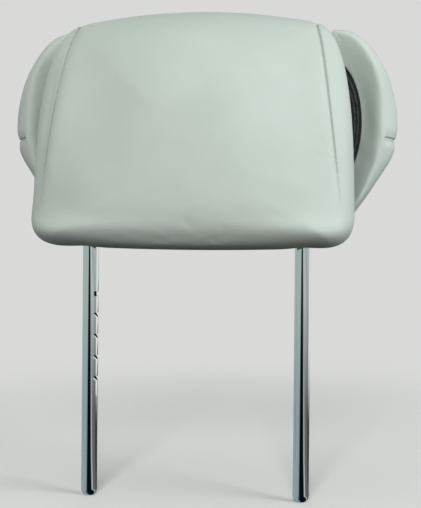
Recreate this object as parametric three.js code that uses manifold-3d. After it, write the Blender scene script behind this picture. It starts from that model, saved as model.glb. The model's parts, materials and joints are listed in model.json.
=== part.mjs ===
// Car headrest: one padded cushion on two steel posts, with two side wings on upright hinges.
// Millimetres. +Z up, the face looks to -Y, +X is the viewer's right, the post tips stand at z = 0.
import * as THREE from 'three';
import { mergeVertices } from 'three/addons/utils/BufferGeometryUtils.js';
import Module from 'manifold-3d';

const wasm = await Module();
wasm.setup();

// Fits and walls
const GAP = 0.3;
const SKIN = 2;
const WALL = 2.5;
const RIM_WALL = 2;

// Posts
const POST_X = 81;
const POST_RADIUS = 6;
const POST_TIP_RADIUS = 2.8;
const POST_NOSE = 5;
const NOTCH_TOP_Z = 154.2;
const NOTCH_PITCH = 16.2;
const NOTCH_COUNT = 5;
const NOTCH_DEPTH = 2.3;
const NOTCH_HEIGHT = 3.6;

// Core: a front and a rear tray, screwed together round the posts and the carrier plate
const TRAY_BOTTOM = 212;
const TRAY_HEIGHT = 106;
const TRAY_MARGIN = 16;
const TRAY_DEPTH = 8;
const RIM_DEPTH = 9.5;
const PLATE_FIT = 0.2;
const PLATE_LIFT = 16;
const PLATE_DROP = 20;
const PLATE_HOLE = 12;
const POST_HEADROOM = 18;
const CLAMP_HEIGHT = 46;
const BOSS_RADIUS = 4.5;
const SCREW_RADIUS = 1.8;
const SCREW_HEAD = 4;
const SCREW_PITCH = 32;
const SLEEVE_WALL = 2.4;

// Padding round the core
const TOP_PADDING = 48.9;
const BOTTOM_PADDING = 23.3;
const SIDE_PADDING = 22.6;
const FACE_PADDING = 46.6;
const BACK_DEPTH = 47.7;
const BACK_FROM_WING = 3.5;

// Hinges
const HINGE_FROM_TRAY = 1;
const HINGE_STANDOFF = 11.5;
const LUG_SPAN = 66;
const LUG_THICK = 3;
const PIN_RADIUS = 3;
const BUSH_WALL = 1.3;
const BUSH_LENGTH = 11;
const KNUCKLE_WALL = 1.35;
const FLANGE = 1;

// Wings
const WING_FROM_HINGE = 1.5;
const WING_BELOW_PAD_TOP = 6.9;
const WING_ABOVE_PAD_BOTTOM = 7.8;
const WING_ARC_WIDTH = 47;
const WING_SHOULDER = 4.5;
const DISH_WIDTH = 24.5;
const DISH_HEIGHT = 50;
const DISH_SETBACK = 17.5;
const FRAME_THICK = 3;
const FRAME_SCALE = 0.7;
const TRIM_FROM_WING = 10.5;
const PEG_PITCH = 27;

// Places that follow from the sizes above
const TRAY_TOP = TRAY_BOTTOM + TRAY_HEIGHT;
const TRAY_HALF = POST_X + TRAY_MARGIN;
const TRAY_FRONT = -POST_RADIUS - TRAY_DEPTH;
const PLATE_FRONT = POST_RADIUS + GAP;
const TRAY_BACK = PLATE_FRONT + WALL + PLATE_FIT;
const REAR_FACE = TRAY_BACK + GAP + WALL;
const RIM_BACK = TRAY_BACK + RIM_DEPTH;
const PLATE_HALF = TRAY_HALF - WALL - 1;
const PLATE_BOTTOM = TRAY_BOTTOM + PLATE_LIFT;
const PLATE_TOP = TRAY_TOP - PLATE_DROP;
const PLATE_MIDDLE = (PLATE_BOTTOM + PLATE_TOP) / 2;
const POST_TOP = TRAY_TOP - POST_HEADROOM;
const CLAMP_REACH = TRAY_MARGIN - WALL - 1.5;
const BRACKET_SCREW_X = POST_X - CLAMP_REACH - 6.5;
const BRACKET_SCREW_Z = [PLATE_TOP - 4 - SCREW_PITCH, PLATE_TOP - 4];
const BRACKET_START = BRACKET_SCREW_X - 6.5;
const BOSS_X = BRACKET_START - SCREW_HEAD - 2;
const HEAD_FROM_TRAY = RIM_WALL + SCREW_HEAD + GAP;
const CORE_SCREW_Z = [TRAY_BOTTOM + HEAD_FROM_TRAY, TRAY_TOP - HEAD_FROM_TRAY];

const PAD_HALF = TRAY_HALF + SIDE_PADDING;
const PAD_TOP = TRAY_TOP + TOP_PADDING;
const PAD_BOTTOM = TRAY_BOTTOM - BOTTOM_PADDING;
const PAD_FACE = TRAY_FRONT - FACE_PADDING;
const PAD_REAR = RIM_BACK - 1.5;
const SLEEVE_LOW = TRAY_BOTTOM - 12;

const HINGE_X = TRAY_HALF + HINGE_FROM_TRAY;
const HINGE_Y = RIM_BACK + HINGE_STANDOFF;
const LUG_HIGH = TRAY_TOP - 6;
const LUG_LOW = LUG_HIGH - LUG_SPAN;
const HINGE_MIDDLE = (LUG_LOW + LUG_HIGH) / 2;
const BUSH_RADIUS = PIN_RADIUS + GAP + BUSH_WALL;
const KNUCKLE_BORE = BUSH_RADIUS + 0.25;
const KNUCKLE_RADIUS = KNUCKLE_BORE + KNUCKLE_WALL;
const KNUCKLE_LOW = LUG_LOW + LUG_THICK + FLANGE + 2 * GAP;
const KNUCKLE_HIGH = LUG_HIGH - LUG_THICK - FLANGE - 2 * GAP;
const ARM_LOW = KNUCKLE_LOW + 2.4;
const ARM_HIGH = KNUCKLE_HIGH - 2.4;

const WING_INNER = HINGE_X + WING_FROM_HINGE;
const WING_TOP = PAD_TOP - WING_BELOW_PAD_TOP;
const WING_LOW = PAD_BOTTOM + WING_ABOVE_PAD_BOTTOM;
const WING_WIDE_Z = HINGE_MIDDLE + 5;
const WING_ARC_X = WING_INNER + WING_SHOULDER;
const WING_OUTER = WING_ARC_X + WING_ARC_WIDTH;
const DISH_Z = HINGE_MIDDLE + 10;
const DISH_FLOOR = HINGE_Y + DISH_SETBACK;
const FRAME_FRONT = DISH_FLOOR + 4.5;
const FRAME_CENTRE_Z = WING_WIDE_Z - 1;
const TRIM_INNER = WING_INNER + TRIM_FROM_WING;

const BACK_HALF = WING_INNER - BACK_FROM_WING;
const BACK_FRONT = RIM_BACK + GAP;
const BACK_REAR = BACK_FRONT + BACK_DEPTH;

// How finely round things are divided
const ROUND_STEPS = 14;
const SMALL_ROUND_STEPS = 10;
const POST_STEPS = 24;
const EDGE_STEPS = 18;
const SPINE_STEPS = 5;
const TRIM_STEPS = 8;
const LOOP_STEPS = [3, 6, 3, 4];

// Colours
const IVORY = '#c9d2c6';
const CHROME = '#c8ccd0';
const STEEL = '#9aa0a4';
const BLACK = '#1b1c1d';
const GREY = '#5a5d60';
const FOAM = '#8f9194';
const BRASS = '#b5964d';

// General helpers

const v = (x, y, z) => new THREE.Vector3(x, y, z);

function solidOf(geometry) {
  const bare = new THREE.BufferGeometry();
  bare.setAttribute('position', geometry.getAttribute('position').clone());
  if (geometry.index) bare.setIndex(geometry.index.clone());
  const merged = mergeVertices(bare, 1e-4);
  return new wasm.Manifold(new wasm.Mesh({
    numProp: 3,
    vertProperties: new Float32Array(merged.getAttribute('position').array),
    triVerts: new Uint32Array(merged.index.array),
  }));
}

function geometryOf(solid) {
  const mesh = solid.getMesh();
  const geometry = new THREE.BufferGeometry();
  geometry.setAttribute('position', new THREE.BufferAttribute(new Float32Array(mesh.vertProperties), 3));
  geometry.setIndex(new THREE.BufferAttribute(new Uint32Array(mesh.triVerts), 1));
  return geometry;
}

function cut(body, ...tools) {
  let solid = solidOf(body);
  for (const tool of tools) solid = solid.subtract(solidOf(tool));
  return geometryOf(solid);
}

function join(body, ...others) {
  let solid = solidOf(body);
  for (const other of others) solid = solid.add(solidOf(other));
  return geometryOf(solid);
}

function box(x0, x1, y0, y1, z0, z1) {
  const geometry = new THREE.BoxGeometry(x1 - x0, y1 - y0, z1 - z0);
  return geometry.translate((x0 + x1) / 2, (y0 + y1) / 2, (z0 + z1) / 2);
}

// Upright round bar around (x, y)
function bar(x, y, radius, z0, z1, steps = ROUND_STEPS) {
  const geometry = new THREE.CylinderGeometry(radius, radius, z1 - z0, steps);
  return geometry.rotateX(Math.PI / 2).translate(x, y, (z0 + z1) / 2);
}

// Round bar along Y around (x, z)
function stud(x, z, radius, y0, y1, steps = SMALL_ROUND_STEPS) {
  return new THREE.CylinderGeometry(radius, radius, y1 - y0, steps).translate(x, (y0 + y1) / 2, z);
}

// Ring or sleeve around an upright axis
function ring(x, y, inner, outer, z0, z1) {
  return cut(bar(x, y, outer, z0, z1), bar(x, y, inner, z0 - 1, z1 + 1));
}

// Outline in x and y, drawn up from z0 to z1
function prism(points, z0, z1) {
  const shape = new THREE.Shape(points.map(([x, y]) => new THREE.Vector2(x, y)));
  const geometry = new THREE.ExtrudeGeometry(shape, { depth: z1 - z0, bevelEnabled: false });
  return geometry.translate(0, 0, z0);
}

// Outline in x and z, drawn from y0 to y1
function slab(shape, y0, y1, curveSegments = 5) {
  const settings = { depth: y1 - y0, bevelEnabled: false, curveSegments };
  return new THREE.ExtrudeGeometry(shape, settings).rotateX(Math.PI / 2).translate(0, y1, 0);
}

// Left-hand twin of a right-hand piece
function mirrored(geometry) {
  const twin = geometry.clone();
  twin.scale(-1, 1, 1);
  const source = twin.index ? twin : mergeVertices(twin, 1e-4);
  const index = Array.from(source.index.array);
  for (let i = 0; i < index.length; i += 3) {
    const keep = index[i + 1];
    index[i + 1] = index[i + 2];
    index[i + 2] = keep;
  }
  source.setIndex(index);
  return source;
}

// Rounded rectangle in x and z, even about x = 0
function rectangle(half, low, high, radius) {
  const shape = new THREE.Shape();
  shape.moveTo(-half + radius, low);
  shape.lineTo(half - radius, low);
  shape.quadraticCurveTo(half, low, half, low + radius);
  shape.lineTo(half, high - radius);
  shape.quadraticCurveTo(half, high, half - radius, high);
  shape.lineTo(-half + radius, high);
  shape.quadraticCurveTo(-half, high, -half, high - radius);
  shape.lineTo(-half, low + radius);
  shape.quadraticCurveTo(-half, low, -half + radius, low);
  return shape;
}

function roundHole(x, z, radius) {
  const hole = new THREE.Path();
  hole.absarc(x, z, radius, 0, Math.PI * 2, true);
  return hole;
}

// Soft body through matching closed guide loops, front to back, rounded between the loops
function cushion(loops, steps, frontCentre, backCentre) {
  const count = loops[0].length;
  const columns = [];
  for (let i = 0; i < count; i += 1) {
    const curve = new THREE.CatmullRomCurve3(loops.map((loop) => loop[i]), false, 'centripetal');
    const column = [curve.getPoint(0)];
    for (let span = 0; span < steps.length; span += 1) {
      for (let k = 1; k <= steps[span]; k += 1) {
        column.push(curve.getPoint((span + k / steps[span]) / steps.length));
      }
    }
    columns.push(column);
  }
  const depth = columns[0].length;
  const positions = [];
  for (const column of columns) {
    for (const point of column) positions.push(point.x, point.y, point.z);
  }
  const front = count * depth;
  positions.push(frontCentre.x, frontCentre.y, frontCentre.z);
  positions.push(backCentre.x, backCentre.y, backCentre.z);
  const index = [];
  for (let i = 0; i < count; i += 1) {
    const here = i * depth;
    const next = ((i + 1) % count) * depth;
    index.push(front, next, here);
    for (let k = 0; k < depth - 1; k += 1) {
      index.push(here + k, next + k, next + k + 1);
      index.push(here + k, next + k + 1, here + k + 1);
    }
    index.push(front + 1, here + depth - 1, next + depth - 1);
  }
  const geometry = new THREE.BufferGeometry();
  geometry.setAttribute('position', new THREE.Float32BufferAttribute(positions, 3));
  geometry.setIndex(index);
  return geometry;
}

// Same body with its whole surface moved inward
function inset(geometry, distance) {
  const inner = geometry.clone();
  inner.computeVertexNormals();
  const position = inner.getAttribute('position');
  const normal = inner.getAttribute('normal');
  for (let i = 0; i < position.count; i += 1) {
    position.setXYZ(
      i,
      position.getX(i) - normal.getX(i) * distance,
      position.getY(i) - normal.getY(i) * distance,
      position.getZ(i) - normal.getZ(i) * distance,
    );
  }
  return inner;
}

// Posts

function postBlank(x) {
  const nose = new THREE.EllipseCurve(0, 0, 1, 1, -Math.PI / 2, 0, false).getPoints(4);
  const profile = [new THREE.Vector2(0, 0)];
  for (const point of nose) {
    const radius = POST_TIP_RADIUS + (POST_RADIUS - POST_TIP_RADIUS) * point.x;
    profile.push(new THREE.Vector2(radius, POST_NOSE * (1 + point.y)));
  }
  profile.push(new THREE.Vector2(POST_RADIUS, POST_TOP - 1));
  profile.push(new THREE.Vector2(POST_RADIUS - 1, POST_TOP));
  profile.push(new THREE.Vector2(0, POST_TOP));
  return new THREE.LatheGeometry(profile, POST_STEPS).rotateX(Math.PI / 2).translate(x, 0, 0);
}

// Height-setting notch on the inner side of the left post: flat roof, sloping floor below the first one
function notchTool(order) {
  const z = NOTCH_TOP_Z - order * NOTCH_PITCH;
  const floor = -POST_X + POST_RADIUS - NOTCH_DEPTH;
  const open = -POST_X + POST_RADIUS + 1;
  const slope = order === 0 ? 0 : NOTCH_HEIGHT * 0.75;
  const shape = new THREE.Shape();
  shape.moveTo(floor, z + NOTCH_HEIGHT / 2);
  shape.lineTo(open, z + NOTCH_HEIGHT / 2);
  shape.lineTo(open, z - NOTCH_HEIGHT / 2 - slope * 0.4);
  shape.lineTo(floor, z - NOTCH_HEIGHT / 2 + slope);
  shape.closePath();
  return slab(shape, -POST_RADIUS - 1, POST_RADIUS + 1);
}

function postLeft() {
  const tools = [];
  for (let order = 0; order < NOTCH_COUNT; order += 1) tools.push(notchTool(order));
  return cut(postBlank(-POST_X), ...tools);
}

function postRight() {
  return postBlank(POST_X);
}

// Core

function carrierPlate() {
  const shape = rectangle(PLATE_HALF, PLATE_BOTTOM, PLATE_TOP, 5);
  const pitch = 2 * PLATE_HOLE + 10;
  for (const x of [-pitch, 0, pitch]) shape.holes.push(roundHole(x, PLATE_MIDDLE, PLATE_HOLE));
  for (const side of [-1, 1]) {
    for (const z of BRACKET_SCREW_Z) shape.holes.push(roundHole(side * BRACKET_SCREW_X, z, SCREW_RADIUS + 0.5));
  }
  return slab(shape, PLATE_FRONT, PLATE_FRONT + WALL);
}

// Strap that holds a post against the carrier plate
function postClamp() {
  const inner = POST_RADIUS + GAP;
  const outer = inner + 2;
  const low = PLATE_MIDDLE - CLAMP_HEIGHT / 2;
  const high = PLATE_MIDDLE + CLAMP_HEIGHT / 2;
  const face = PLATE_FRONT - GAP;
  const blank = prism([
    [POST_X - CLAMP_REACH, face], [POST_X - CLAMP_REACH, face - 2], [POST_X - outer, face - 2],
    [POST_X - outer, 0], [POST_X + outer, 0], [POST_X + outer, face - 2],
    [POST_X + CLAMP_REACH, face - 2], [POST_X + CLAMP_REACH, face],
  ], low, high);
  const strap = join(blank, bar(POST_X, 0, outer, low, high));
  return cut(
    strap,
    bar(POST_X, 0, inner, low - 1, high + 1),
    box(POST_X - inner, POST_X + inner, 0, outer + 2, low - 1, high + 1),
  );
}

function coreFront() {
  const outer = slab(rectangle(TRAY_HALF, TRAY_BOTTOM, TRAY_TOP, 8), TRAY_FRONT, TRAY_BACK);
  const hollow = rectangle(TRAY_HALF - WALL, TRAY_BOTTOM + WALL, TRAY_TOP - WALL, 6);
  const tray = cut(outer, slab(hollow, TRAY_FRONT + WALL, TRAY_BACK + 1));
  const bosses = [];
  const bores = [];
  const slots = [];
  for (const side of [-1, 1]) {
    for (const z of CORE_SCREW_Z) {
      bosses.push(stud(side * BOSS_X, z, BOSS_RADIUS, TRAY_FRONT + 1, TRAY_BACK));
      bores.push(stud(side * BOSS_X, z, SCREW_RADIUS + GAP, -POST_RADIUS, TRAY_BACK + 1));
    }
    const x = side * POST_X;
    const wide = POST_RADIUS + 2 * GAP;
    slots.push(bar(x, 0, wide, TRAY_BOTTOM - 2, TRAY_BOTTOM + WALL + 1));
    slots.push(box(x - wide, x + wide, 0, TRAY_BACK + 1, TRAY_BOTTOM - 2, TRAY_BOTTOM + WALL + 1));
  }
  return cut(join(tray, ...bosses), ...bores, ...slots);
}

function coreRear() {
  const outer = slab(rectangle(TRAY_HALF, TRAY_BOTTOM, TRAY_TOP, 8), TRAY_BACK + GAP, RIM_BACK);
  const hollow = rectangle(TRAY_HALF - RIM_WALL, TRAY_BOTTOM + RIM_WALL, TRAY_TOP - RIM_WALL, 6);
  const bores = [];
  for (const side of [-1, 1]) {
    for (const z of CORE_SCREW_Z) bores.push(stud(side * BOSS_X, z, SCREW_RADIUS + GAP, 0, RIM_BACK));
    for (const z of BRACKET_SCREW_Z) {
      bores.push(stud(side * BRACKET_SCREW_X, z, SCREW_RADIUS + 0.5, 0, RIM_BACK));
    }
  }
  return cut(outer, slab(hollow, REAR_FACE, RIM_BACK + 1), ...bores);
}

// Screw along Y whose head lies behind the seat
function screw(x, z, seat, tip) {
  const head = stud(x, z, SCREW_HEAD, seat + GAP, seat + GAP + 2.2);
  const shank = stud(x, z, SCREW_RADIUS, tip, seat + GAP + 1);
  return join(head, shank);
}

function coreScrew(side, z) {
  return screw(side * BOSS_X, z, REAR_FACE, -POST_RADIUS + 1.8);
}

function bracketScrew(side, z) {
  return screw(side * BRACKET_SCREW_X, z, REAR_FACE + GAP + WALL, PLATE_FRONT - 2.7);
}

// Cushion

// Guide points of a cushion: inward from its side, back from its face, down from its top or up from its bottom
function guide(half, face, top, bottom) {
  return {
    topMiddle: (back, drop) => v(0, face + back, top - drop),
    high: (inward, back, drop) => v(half - inward, face + back, top - drop),
    low: (inward, back, rise) => v(half - inward, face + back, bottom + rise),
    lowMiddle: (back, rise) => v(0, face + back, bottom + rise),
  };
}

// One closed guide loop, given by its right-hand half from the top centre to the bottom centre
function padLoop(topCentre, shoulder, pullHigh, pullLow, hip, corner, heel, bottomCentre) {
  const curves = [
    new THREE.QuadraticBezierCurve3(topCentre, v(shoulder.x * 0.5, topCentre.y, topCentre.z), shoulder),
    new THREE.CubicBezierCurve3(shoulder, pullHigh, pullLow, hip),
    new THREE.QuadraticBezierCurve3(hip, corner, heel),
    new THREE.QuadraticBezierCurve3(heel, v(heel.x * 0.5, bottomCentre.y, bottomCentre.z), bottomCentre),
  ];
  const half = [];
  curves.forEach((curve, i) => {
    for (let k = 0; k < LOOP_STEPS[i]; k += 1) half.push(curve.getPoint(k / LOOP_STEPS[i]));
  });
  const loop = [...half, bottomCentre];
  for (let i = half.length - 1; i > 0; i -= 1) loop.push(v(-half[i].x, half[i].y, half[i].z));
  return loop;
}

// Crowned face, rolled lower edge, arched top that leans back
function padBody() {
  const front = guide(PAD_HALF, PAD_FACE, PAD_TOP, PAD_BOTTOM);
  const back = guide(PAD_HALF, PAD_REAR, PAD_TOP, PAD_BOTTOM);
  const crown = padLoop(
    front.topMiddle(4.1, 63.9), front.high(85.6, 5.1, 66.9),
    front.high(81.6, 3.1, 81.9), front.high(77.6, 1.6, 101.9),
    front.low(75.6, 1.3, 57.3), front.low(75.6, 1.1, 47.3),
    front.low(85.6, 0.6, 43.3), front.lowMiddle(0.1, 41.3),
  );
  const face = padLoop(
    front.topMiddle(23.6, 24.9), front.high(49.6, 29.6, 30.9),
    front.high(44.6, 18.6, 51.9), front.high(39.6, 9.6, 91.9),
    front.low(33.6, 6.6, 43.3), front.low(33.6, 6.1, 29.3),
    front.low(45.6, 4.1, 25.3), front.lowMiddle(2.1, 24.3),
  );
  const seam = padLoop(
    front.topMiddle(48.6, 4.9), front.high(29.6, 54.6, 11.9),
    front.high(23.6, 29.6, 31.9), front.high(16.6, 10.6, 81.9),
    front.low(8.1, 16.6, 27.3), front.low(7.6, 14.6, 12.3),
    front.low(21.6, 10.6, 9.3), front.lowMiddle(10.1, 7.8),
  );
  const widest = padLoop(
    back.topMiddle(-13, 0), back.high(27.6, -13, 9.4),
    back.high(6.6, -31, 21.9), front.high(1.1, 32.6, 66.9),
    front.low(0, 33.6, 25.3), front.low(0, 32.6, 2.3),
    front.low(22.6, 31.6, 1.7), front.lowMiddle(31.6, 0),
  );
  const rear = padLoop(
    back.topMiddle(-4, 3.9), back.high(29.6, -5, 12.9),
    back.high(13.6, -9, 26.9), back.high(7.6, -11, 66.9),
    back.low(6.6, -11, 27.3), back.low(6.6, -11, 7.3),
    back.low(24.6, -11, 4.8), back.lowMiddle(-11, 2.3),
  );
  const tuck = padLoop(
    back.topMiddle(0, 12.9), back.high(33.6, 0, 21.9),
    back.high(20.6, 0, 32.9), back.high(14.6, 0, 68.9),
    back.low(13.6, 0, 31.3), back.low(13.6, 0, 15.3),
    back.low(27.6, 0, 12.3), back.lowMiddle(0, 11.3),
  );
  const frontCentre = front.topMiddle(0, 98.9);
  const backCentre = back.topMiddle(0, 86.9);
  return cushion([crown, face, seam, widest, rear, tuck], [2, 2, 2, 2, 2], frontCentre, backCentre);
}

const PAD = padBody();
const RECESS = GAP + 0.2;

function postPassages(radius, top) {
  return [-1, 1].map((side) => bar(side * POST_X, 0, radius, PAD_BOTTOM - 9, top));
}

// Room for the core inside the cushion, from the given front to behind the cushion
function corePocket(front) {
  return box(
    -TRAY_HALF - RECESS, TRAY_HALF + RECESS, front, RIM_BACK + 12,
    TRAY_BOTTOM - RECESS, TRAY_TOP + RECESS,
  );
}

function padFoam() {
  const sleeves = postPassages(POST_RADIUS + GAP + SLEEVE_WALL + GAP, TRAY_BOTTOM + 1);
  return cut(inset(PAD, SKIN + GAP), corePocket(TRAY_FRONT - RECESS), ...sleeves);
}

function padCover() {
  const holes = postPassages(POST_RADIUS + 0.7, SLEEVE_LOW);
  return cut(PAD, inset(PAD, SKIN), corePocket(PAD_REAR - 7), ...holes);
}

// Plastic sleeve that guides a post through the foam
function postSleeve() {
  const inner = POST_RADIUS + GAP;
  return ring(POST_X, 0, inner, inner + SLEEVE_WALL, SLEEVE_LOW, TRAY_BOTTOM - GAP);
}

// Rear cushion between the wings

// Room round one hinge in the rear cushion
function hingeNotch(side, grow) {
  const inner = HINGE_X - 21 - grow;
  const outer = HINGE_X + 32;
  return box(
    Math.min(side * inner, side * outer), Math.max(side * inner, side * outer),
    BACK_FRONT - 9, HINGE_Y + 9 + grow, LUG_LOW - 5 - grow, LUG_HIGH + 5 + grow,
  );
}

function backBody() {
  const front = guide(BACK_HALF, BACK_FRONT, PAD_TOP, PAD_BOTTOM);
  const back = guide(BACK_HALF, BACK_REAR, PAD_TOP, PAD_BOTTOM);
  const face = padLoop(
    front.topMiddle(0.2, 14.9), front.high(16, 0.2, 22.9), front.high(8, 0.2, 32.9), front.high(6, 0.2, 66.9),
    front.low(6, 0.2, 33.3), front.low(6, 0.2, 19.3), front.low(16, 0.2, 16.3), front.lowMiddle(0.2, 15.3),
  );
  const edge = padLoop(
    front.topMiddle(3.2, 8.9), front.high(12, 3.2, 16.9), front.high(4, 3.2, 26.9), front.high(2, 3.2, 66.9),
    front.low(2, 3.2, 27.3), front.low(2, 3.2, 14.3), front.low(12, 3.2, 11.3), front.lowMiddle(3.2, 10.3),
  );
  const flank = padLoop(
    front.topMiddle(21.2, 5.4), front.high(10, 21.2, 13.9), front.high(1, 23.2, 24.9), front.high(0, 23.2, 66.9),
    front.low(0, 23.2, 25.3), front.low(0, 23.2, 9.3), front.low(12, 21.2, 7.3), front.lowMiddle(21.2, 6.3),
  );
  const swell = padLoop(
    back.topMiddle(-9.5, 10.9), back.high(16, -9.5, 18.9), back.high(6, -8.5, 30.9), back.high(4, -8.5, 68.9),
    back.low(4, -8.5, 31.3), back.low(4, -8.5, 16.3), back.low(16, -9.5, 13.3), back.lowMiddle(-9.5, 12.3),
  );
  const rear = padLoop(
    back.topMiddle(-1.5, 44.9), back.high(46, -1.5, 48.9), back.high(38, -1.5, 56.9), back.high(36, -1.5, 76.9),
    back.low(36, -1.5, 63.3), back.low(36, -1.5, 51.3), back.low(46, -1.5, 47.3), back.lowMiddle(-1.5, 46.3),
  );
  const frontCentre = front.topMiddle(0.2, 86.9);
  const backCentre = back.topMiddle(0, 86.9);
  return cushion([face, edge, flank, swell, rear], [1, 2, 2, 2], frontCentre, backCentre);
}

const BACK = backBody();
const BOARD_HALF = BACK_HALF - 21;
const BOARD_LOW = PAD_BOTTOM + 26.3;
const BOARD_HIGH = PAD_TOP - 27.9;

// Room for the board in the front of the rear cushion, larger than the board by the given margin
function boardPocket(margin, back) {
  return box(
    -BOARD_HALF - margin, BOARD_HALF + margin, BACK_FRONT - 9, back,
    BOARD_LOW - margin, BOARD_HIGH + margin,
  );
}

function backCover() {
  const notches = [-1, 1].map((side) => hingeNotch(side, 0));
  return cut(BACK, inset(BACK, SKIN), boardPocket(1, BACK_FRONT + 11), ...notches);
}

function backFoam() {
  const notches = [-1, 1].map((side) => hingeNotch(side, GAP));
  return cut(inset(BACK, SKIN + GAP), boardPocket(0.5, BACK_FRONT + WALL + GAP), ...notches);
}

function backBoard() {
  const shape = rectangle(BOARD_HALF, BOARD_LOW, BOARD_HIGH, 6);
  for (const side of [-1, 1]) shape.holes.push(roundHole(side * 40, (BOARD_LOW + BOARD_HIGH) / 2 - 12, 14));
  return slab(shape, BACK_FRONT, BACK_FRONT + WALL);
}

// Hinges

function hingeBore(radius) {
  return bar(HINGE_X, HINGE_Y, radius, LUG_LOW - 6, LUG_HIGH + 8);
}

function hingeBracket() {
  const seat = REAR_FACE + GAP;
  const end = TRAY_HALF - RIM_WALL - 1;
  const lug = [
    [BRACKET_START, seat], [end, seat], [end, RIM_BACK + 0.5], [HINGE_X + 6.5, HINGE_Y - 6],
    [HINGE_X + 6.5, HINGE_Y + 5], [HINGE_X + 3, HINGE_Y + 7.5], [HINGE_X - 4, HINGE_Y + 7.5],
    [HINGE_X - 18, HINGE_Y - 9], [HINGE_X - 24, seat + WALL], [BRACKET_START, seat + WALL],
  ];
  const spine = [
    [BRACKET_START, seat], [end, seat], [end, seat + WALL], [BRACKET_START, seat + WALL],
  ];
  const body = join(
    prism(spine, LUG_LOW, LUG_HIGH),
    prism(lug, LUG_LOW, LUG_LOW + LUG_THICK),
    prism(lug, LUG_HIGH - LUG_THICK, LUG_HIGH),
  );
  const bores = BRACKET_SCREW_Z.map((z) => (
    stud(BRACKET_SCREW_X, z, SCREW_RADIUS + 0.5, seat - 5, seat + WALL + 5)
  ));
  return cut(body, hingeBore(PIN_RADIUS + GAP), ...bores);
}

function hingePin() {
  const shank = bar(HINGE_X, HINGE_Y, PIN_RADIUS, LUG_LOW - 3, LUG_HIGH + 1);
  const head = bar(HINGE_X, HINGE_Y, PIN_RADIUS + 1.6, LUG_HIGH + GAP, LUG_HIGH + GAP + 2);
  return join(shank, head);
}

function pinClip() {
  const high = LUG_LOW - GAP;
  const whole = ring(HINGE_X, HINGE_Y, PIN_RADIUS + 0.1, PIN_RADIUS + 2.4, high - 1, high);
  return cut(whole, box(HINGE_X - 2, HINGE_X + 2, HINGE_Y, HINGE_Y + PIN_RADIUS + 5, high - 3, high + 1));
}

function hingeBush(low) {
  const flangeLow = low ? KNUCKLE_LOW - GAP - FLANGE : KNUCKLE_HIGH + GAP;
  const sleeveLow = low ? KNUCKLE_LOW - GAP - 0.5 : KNUCKLE_HIGH - BUSH_LENGTH;
  const sleeveHigh = low ? KNUCKLE_LOW + BUSH_LENGTH : KNUCKLE_HIGH + GAP + 0.5;
  const solid = join(
    bar(HINGE_X, HINGE_Y, KNUCKLE_RADIUS, flangeLow, flangeLow + FLANGE),
    bar(HINGE_X, HINGE_Y, BUSH_RADIUS, sleeveLow, sleeveHigh),
  );
  return cut(solid, hingeBore(PIN_RADIUS + GAP));
}

// Rolled spring that grips the pin, so a wing stays where it is put
function frictionSleeve() {
  const low = KNUCKLE_LOW + BUSH_LENGTH + 2.4;
  const high = KNUCKLE_HIGH - BUSH_LENGTH - 2.4;
  const roll = ring(HINGE_X, HINGE_Y, PIN_RADIUS + 0.15, BUSH_RADIUS, low, high);
  return cut(roll, box(HINGE_X - 0.8, HINGE_X + 0.8, HINGE_Y + 1, HINGE_Y + 8, low - 4, high + 4));
}

// Wings

// Edge of the right wing seen from the front: elliptical above, nearly straight below
function wingEdge(points) {
  const path = new THREE.Path();
  path.moveTo(WING_INNER, WING_TOP);
  path.lineTo(WING_ARC_X, WING_TOP);
  path.absellipse(
    WING_ARC_X, WING_WIDE_Z, WING_ARC_WIDTH, WING_TOP - WING_WIDE_Z,
    Math.PI / 2, 0, true,
  );
  path.quadraticCurveTo(WING_OUTER, WING_WIDE_Z - 14, WING_OUTER - 4.2, WING_WIDE_Z - 20);
  path.lineTo(WING_INNER + 12.5, WING_LOW + 12);
  path.quadraticCurveTo(WING_INNER + 5, WING_LOW, WING_INNER, WING_LOW);
  return path.getSpacedPoints(points);
}

// Closed loop round the wing: outer edge by a rule, then back up the straight hinge side
function wingLoop(edgePoint, hingeX, hingeY) {
  const edge = wingEdge(EDGE_STEPS);
  const loop = edge.map((point, i) => edgePoint(point, i / EDGE_STEPS));
  const low = loop[loop.length - 1];
  const high = loop[0];
  for (let k = 1; k < SPINE_STEPS; k += 1) {
    const part = k / SPINE_STEPS;
    loop.push(v(hingeX, hingeY, low.z + (high.z - low.z) * part));
  }
  loop[0] = v(hingeX, high.y, high.z);
  loop[EDGE_STEPS] = v(hingeX, low.y, low.z);
  return loop;
}

// 0 at the hinge side, 1 at the widest point
function spread(point) {
  return (point.x - WING_INNER) / (WING_OUTER - WING_INNER);
}

function wingMiddle() {
  return new THREE.Vector2(WING_INNER + 12, WING_WIDE_Z);
}

function towardMiddle(point, distance) {
  const way = wingMiddle().sub(point).setLength(distance);
  return new THREE.Vector2(point.x + way.x, point.y + way.y);
}

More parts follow.
